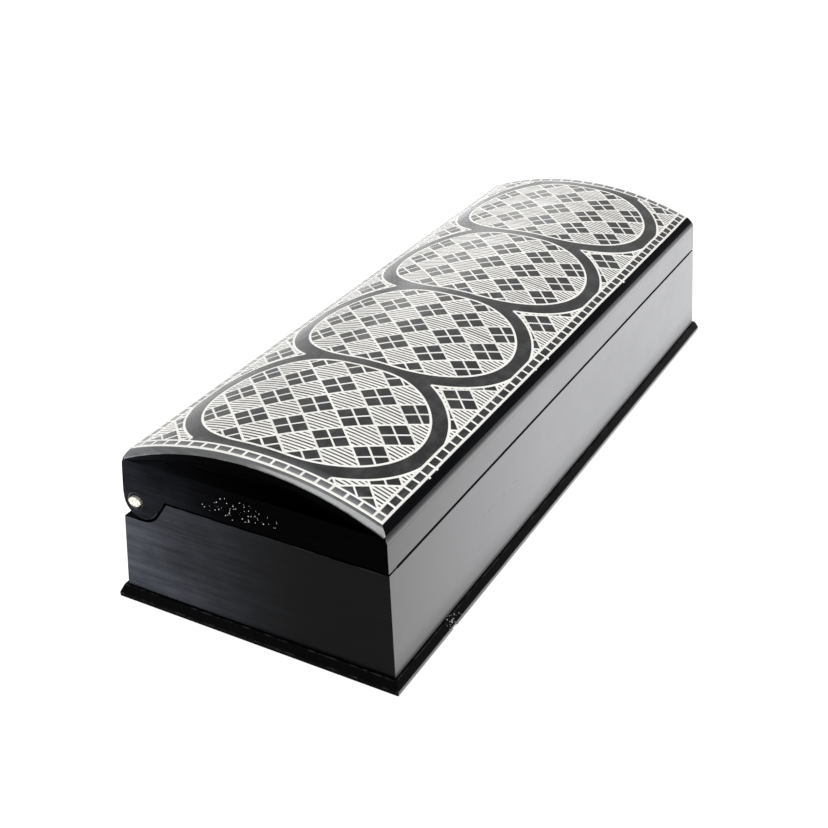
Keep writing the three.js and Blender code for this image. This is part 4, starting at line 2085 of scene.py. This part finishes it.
@dataclass
class Studio:
    """The camera, the floor and the light."""

    camera_place: Point = (-371.62, -195.23, 253.16)
    yaw: float = 29.72
    pitch: float = 29.86
    roll: float = -1.406
    focal_pixels: float = 1320.5
    picture_pixels: float = 828.0
    sensor: float = 36.0
    near_clip: float = 0.01
    floor_half: float = 4.0
    floor_drop: float = 0.0002
    floor_glow: float = 0.6
    unseen_light: float = 0.4
    lamps: tuple[Lamp, ...] = (
        Lamp("key", (520, -520, 560), (0, 0, 20), 420, 420, 3.0),
        Lamp("back", (620, 560, 32), (0, 0, 50), 900, 55, 0.65),
        Lamp("left", (-690, 40, 520), (-126, 0, 50), 680, 260, 3.6),
        Lamp("crown", (1095, 558, 423), (0, 0, 55), 460, 300, 0.9),
    )

    def build(self) -> None:
        """Sets up the studio."""
        self.camera()
        self.floor()
        self.world()
        for lamp in self.lamps:
            lamp.hang()
        bpy.context.scene.view_settings.view_transform = "Standard"

    def camera(self) -> None:
        """Places the camera."""
        yaw, pitch, roll = (math.radians(angle) for angle in (self.yaw, self.pitch, self.roll))
        ahead = Vector((
            math.cos(pitch) * math.cos(yaw), math.cos(pitch) * math.sin(yaw), -math.sin(pitch)))
        right = Vector((math.sin(yaw), -math.cos(yaw), 0))
        up = right.cross(ahead)
        tilted_right = right * math.cos(roll) + up * math.sin(roll)
        tilted_up = up * math.cos(roll) - right * math.sin(roll)
        turn = Matrix((tilted_right, tilted_up, -ahead)).transposed().to_4x4()
        data = bpy.data.cameras.new("camera")
        data.sensor_width = self.sensor
        data.lens = self.focal_pixels * self.sensor / self.picture_pixels
        data.clip_start = self.near_clip
        item = bpy.data.objects.new("camera", data)
        item.matrix_world = Matrix.Translation(Vector(self.camera_place) * METRES_PER_MM) @ turn
        bpy.context.scene.collection.objects.link(item)
        bpy.context.scene.camera = item

    @staticmethod
    def shown(recipe: Recipe) -> Socket:
        """Gives 1 for the rays that see the background and 0 for those that only light things.

        Args:
            recipe: the nodes of the floor or the world.

        Returns:
            The switch.
        """
        path = recipe.add("ShaderNodeLightPath").outputs
        total = path["Is Camera Ray"]
        for name in ("Is Glossy Ray", "Is Transmission Ray"):
            total = recipe.math("MAXIMUM", total, path[name])
        return total

    def floor(self) -> None:
        """Lays a wide white floor that keeps the box's shadow."""
        bm = bmesh.new()
        bmesh.ops.create_grid(bm, x_segments=8, y_segments=8, size=self.floor_half)
        bmesh.ops.translate(bm, vec=(0, 0, -self.floor_drop), verts=bm.verts)
        item = Workpiece(bm).loose_object("floor")
        recipe = Recipe(bpy.data.materials.new("floor_white"))
        recipe.set(recipe.shader, {
            "Base Color": (0.82, 0.82, 0.82, 1), "Roughness": 0.9, "Specular IOR Level": 0.1,
            "Emission Color": (1, 1, 1, 1),
            "Emission Strength": recipe.product(self.shown(recipe), self.floor_glow),
        })
        item.data.materials.append(recipe.owner)

    def world(self) -> None:
        """Surrounds the box with soft white light."""
        world = bpy.data.worlds.new("surroundings")
        bpy.context.scene.world = world
        recipe = Recipe(world, "Background")
        strength = recipe.range(self.shown(recipe), (0.0, 1.0), (self.unseen_light, 1.0))
        recipe.set(recipe.shader, {"Color": (1, 1, 1, 1), "Strength": strength})


def main() -> None:
    """Builds the box around the frame, then the studio."""
    logging.basicConfig(level=logging.INFO, format="%(name)s %(message)s")
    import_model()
    sizes = BoxSizes.from_frame()
    finishes = Finishes(sizes)
    Body(sizes, finishes).build()
    Hinge(sizes, finishes).build()
    Lid(sizes, finishes).build()
    Inlay(sizes, finishes).build()
    Studio().build()


if __name__ == "__main__":
    main()
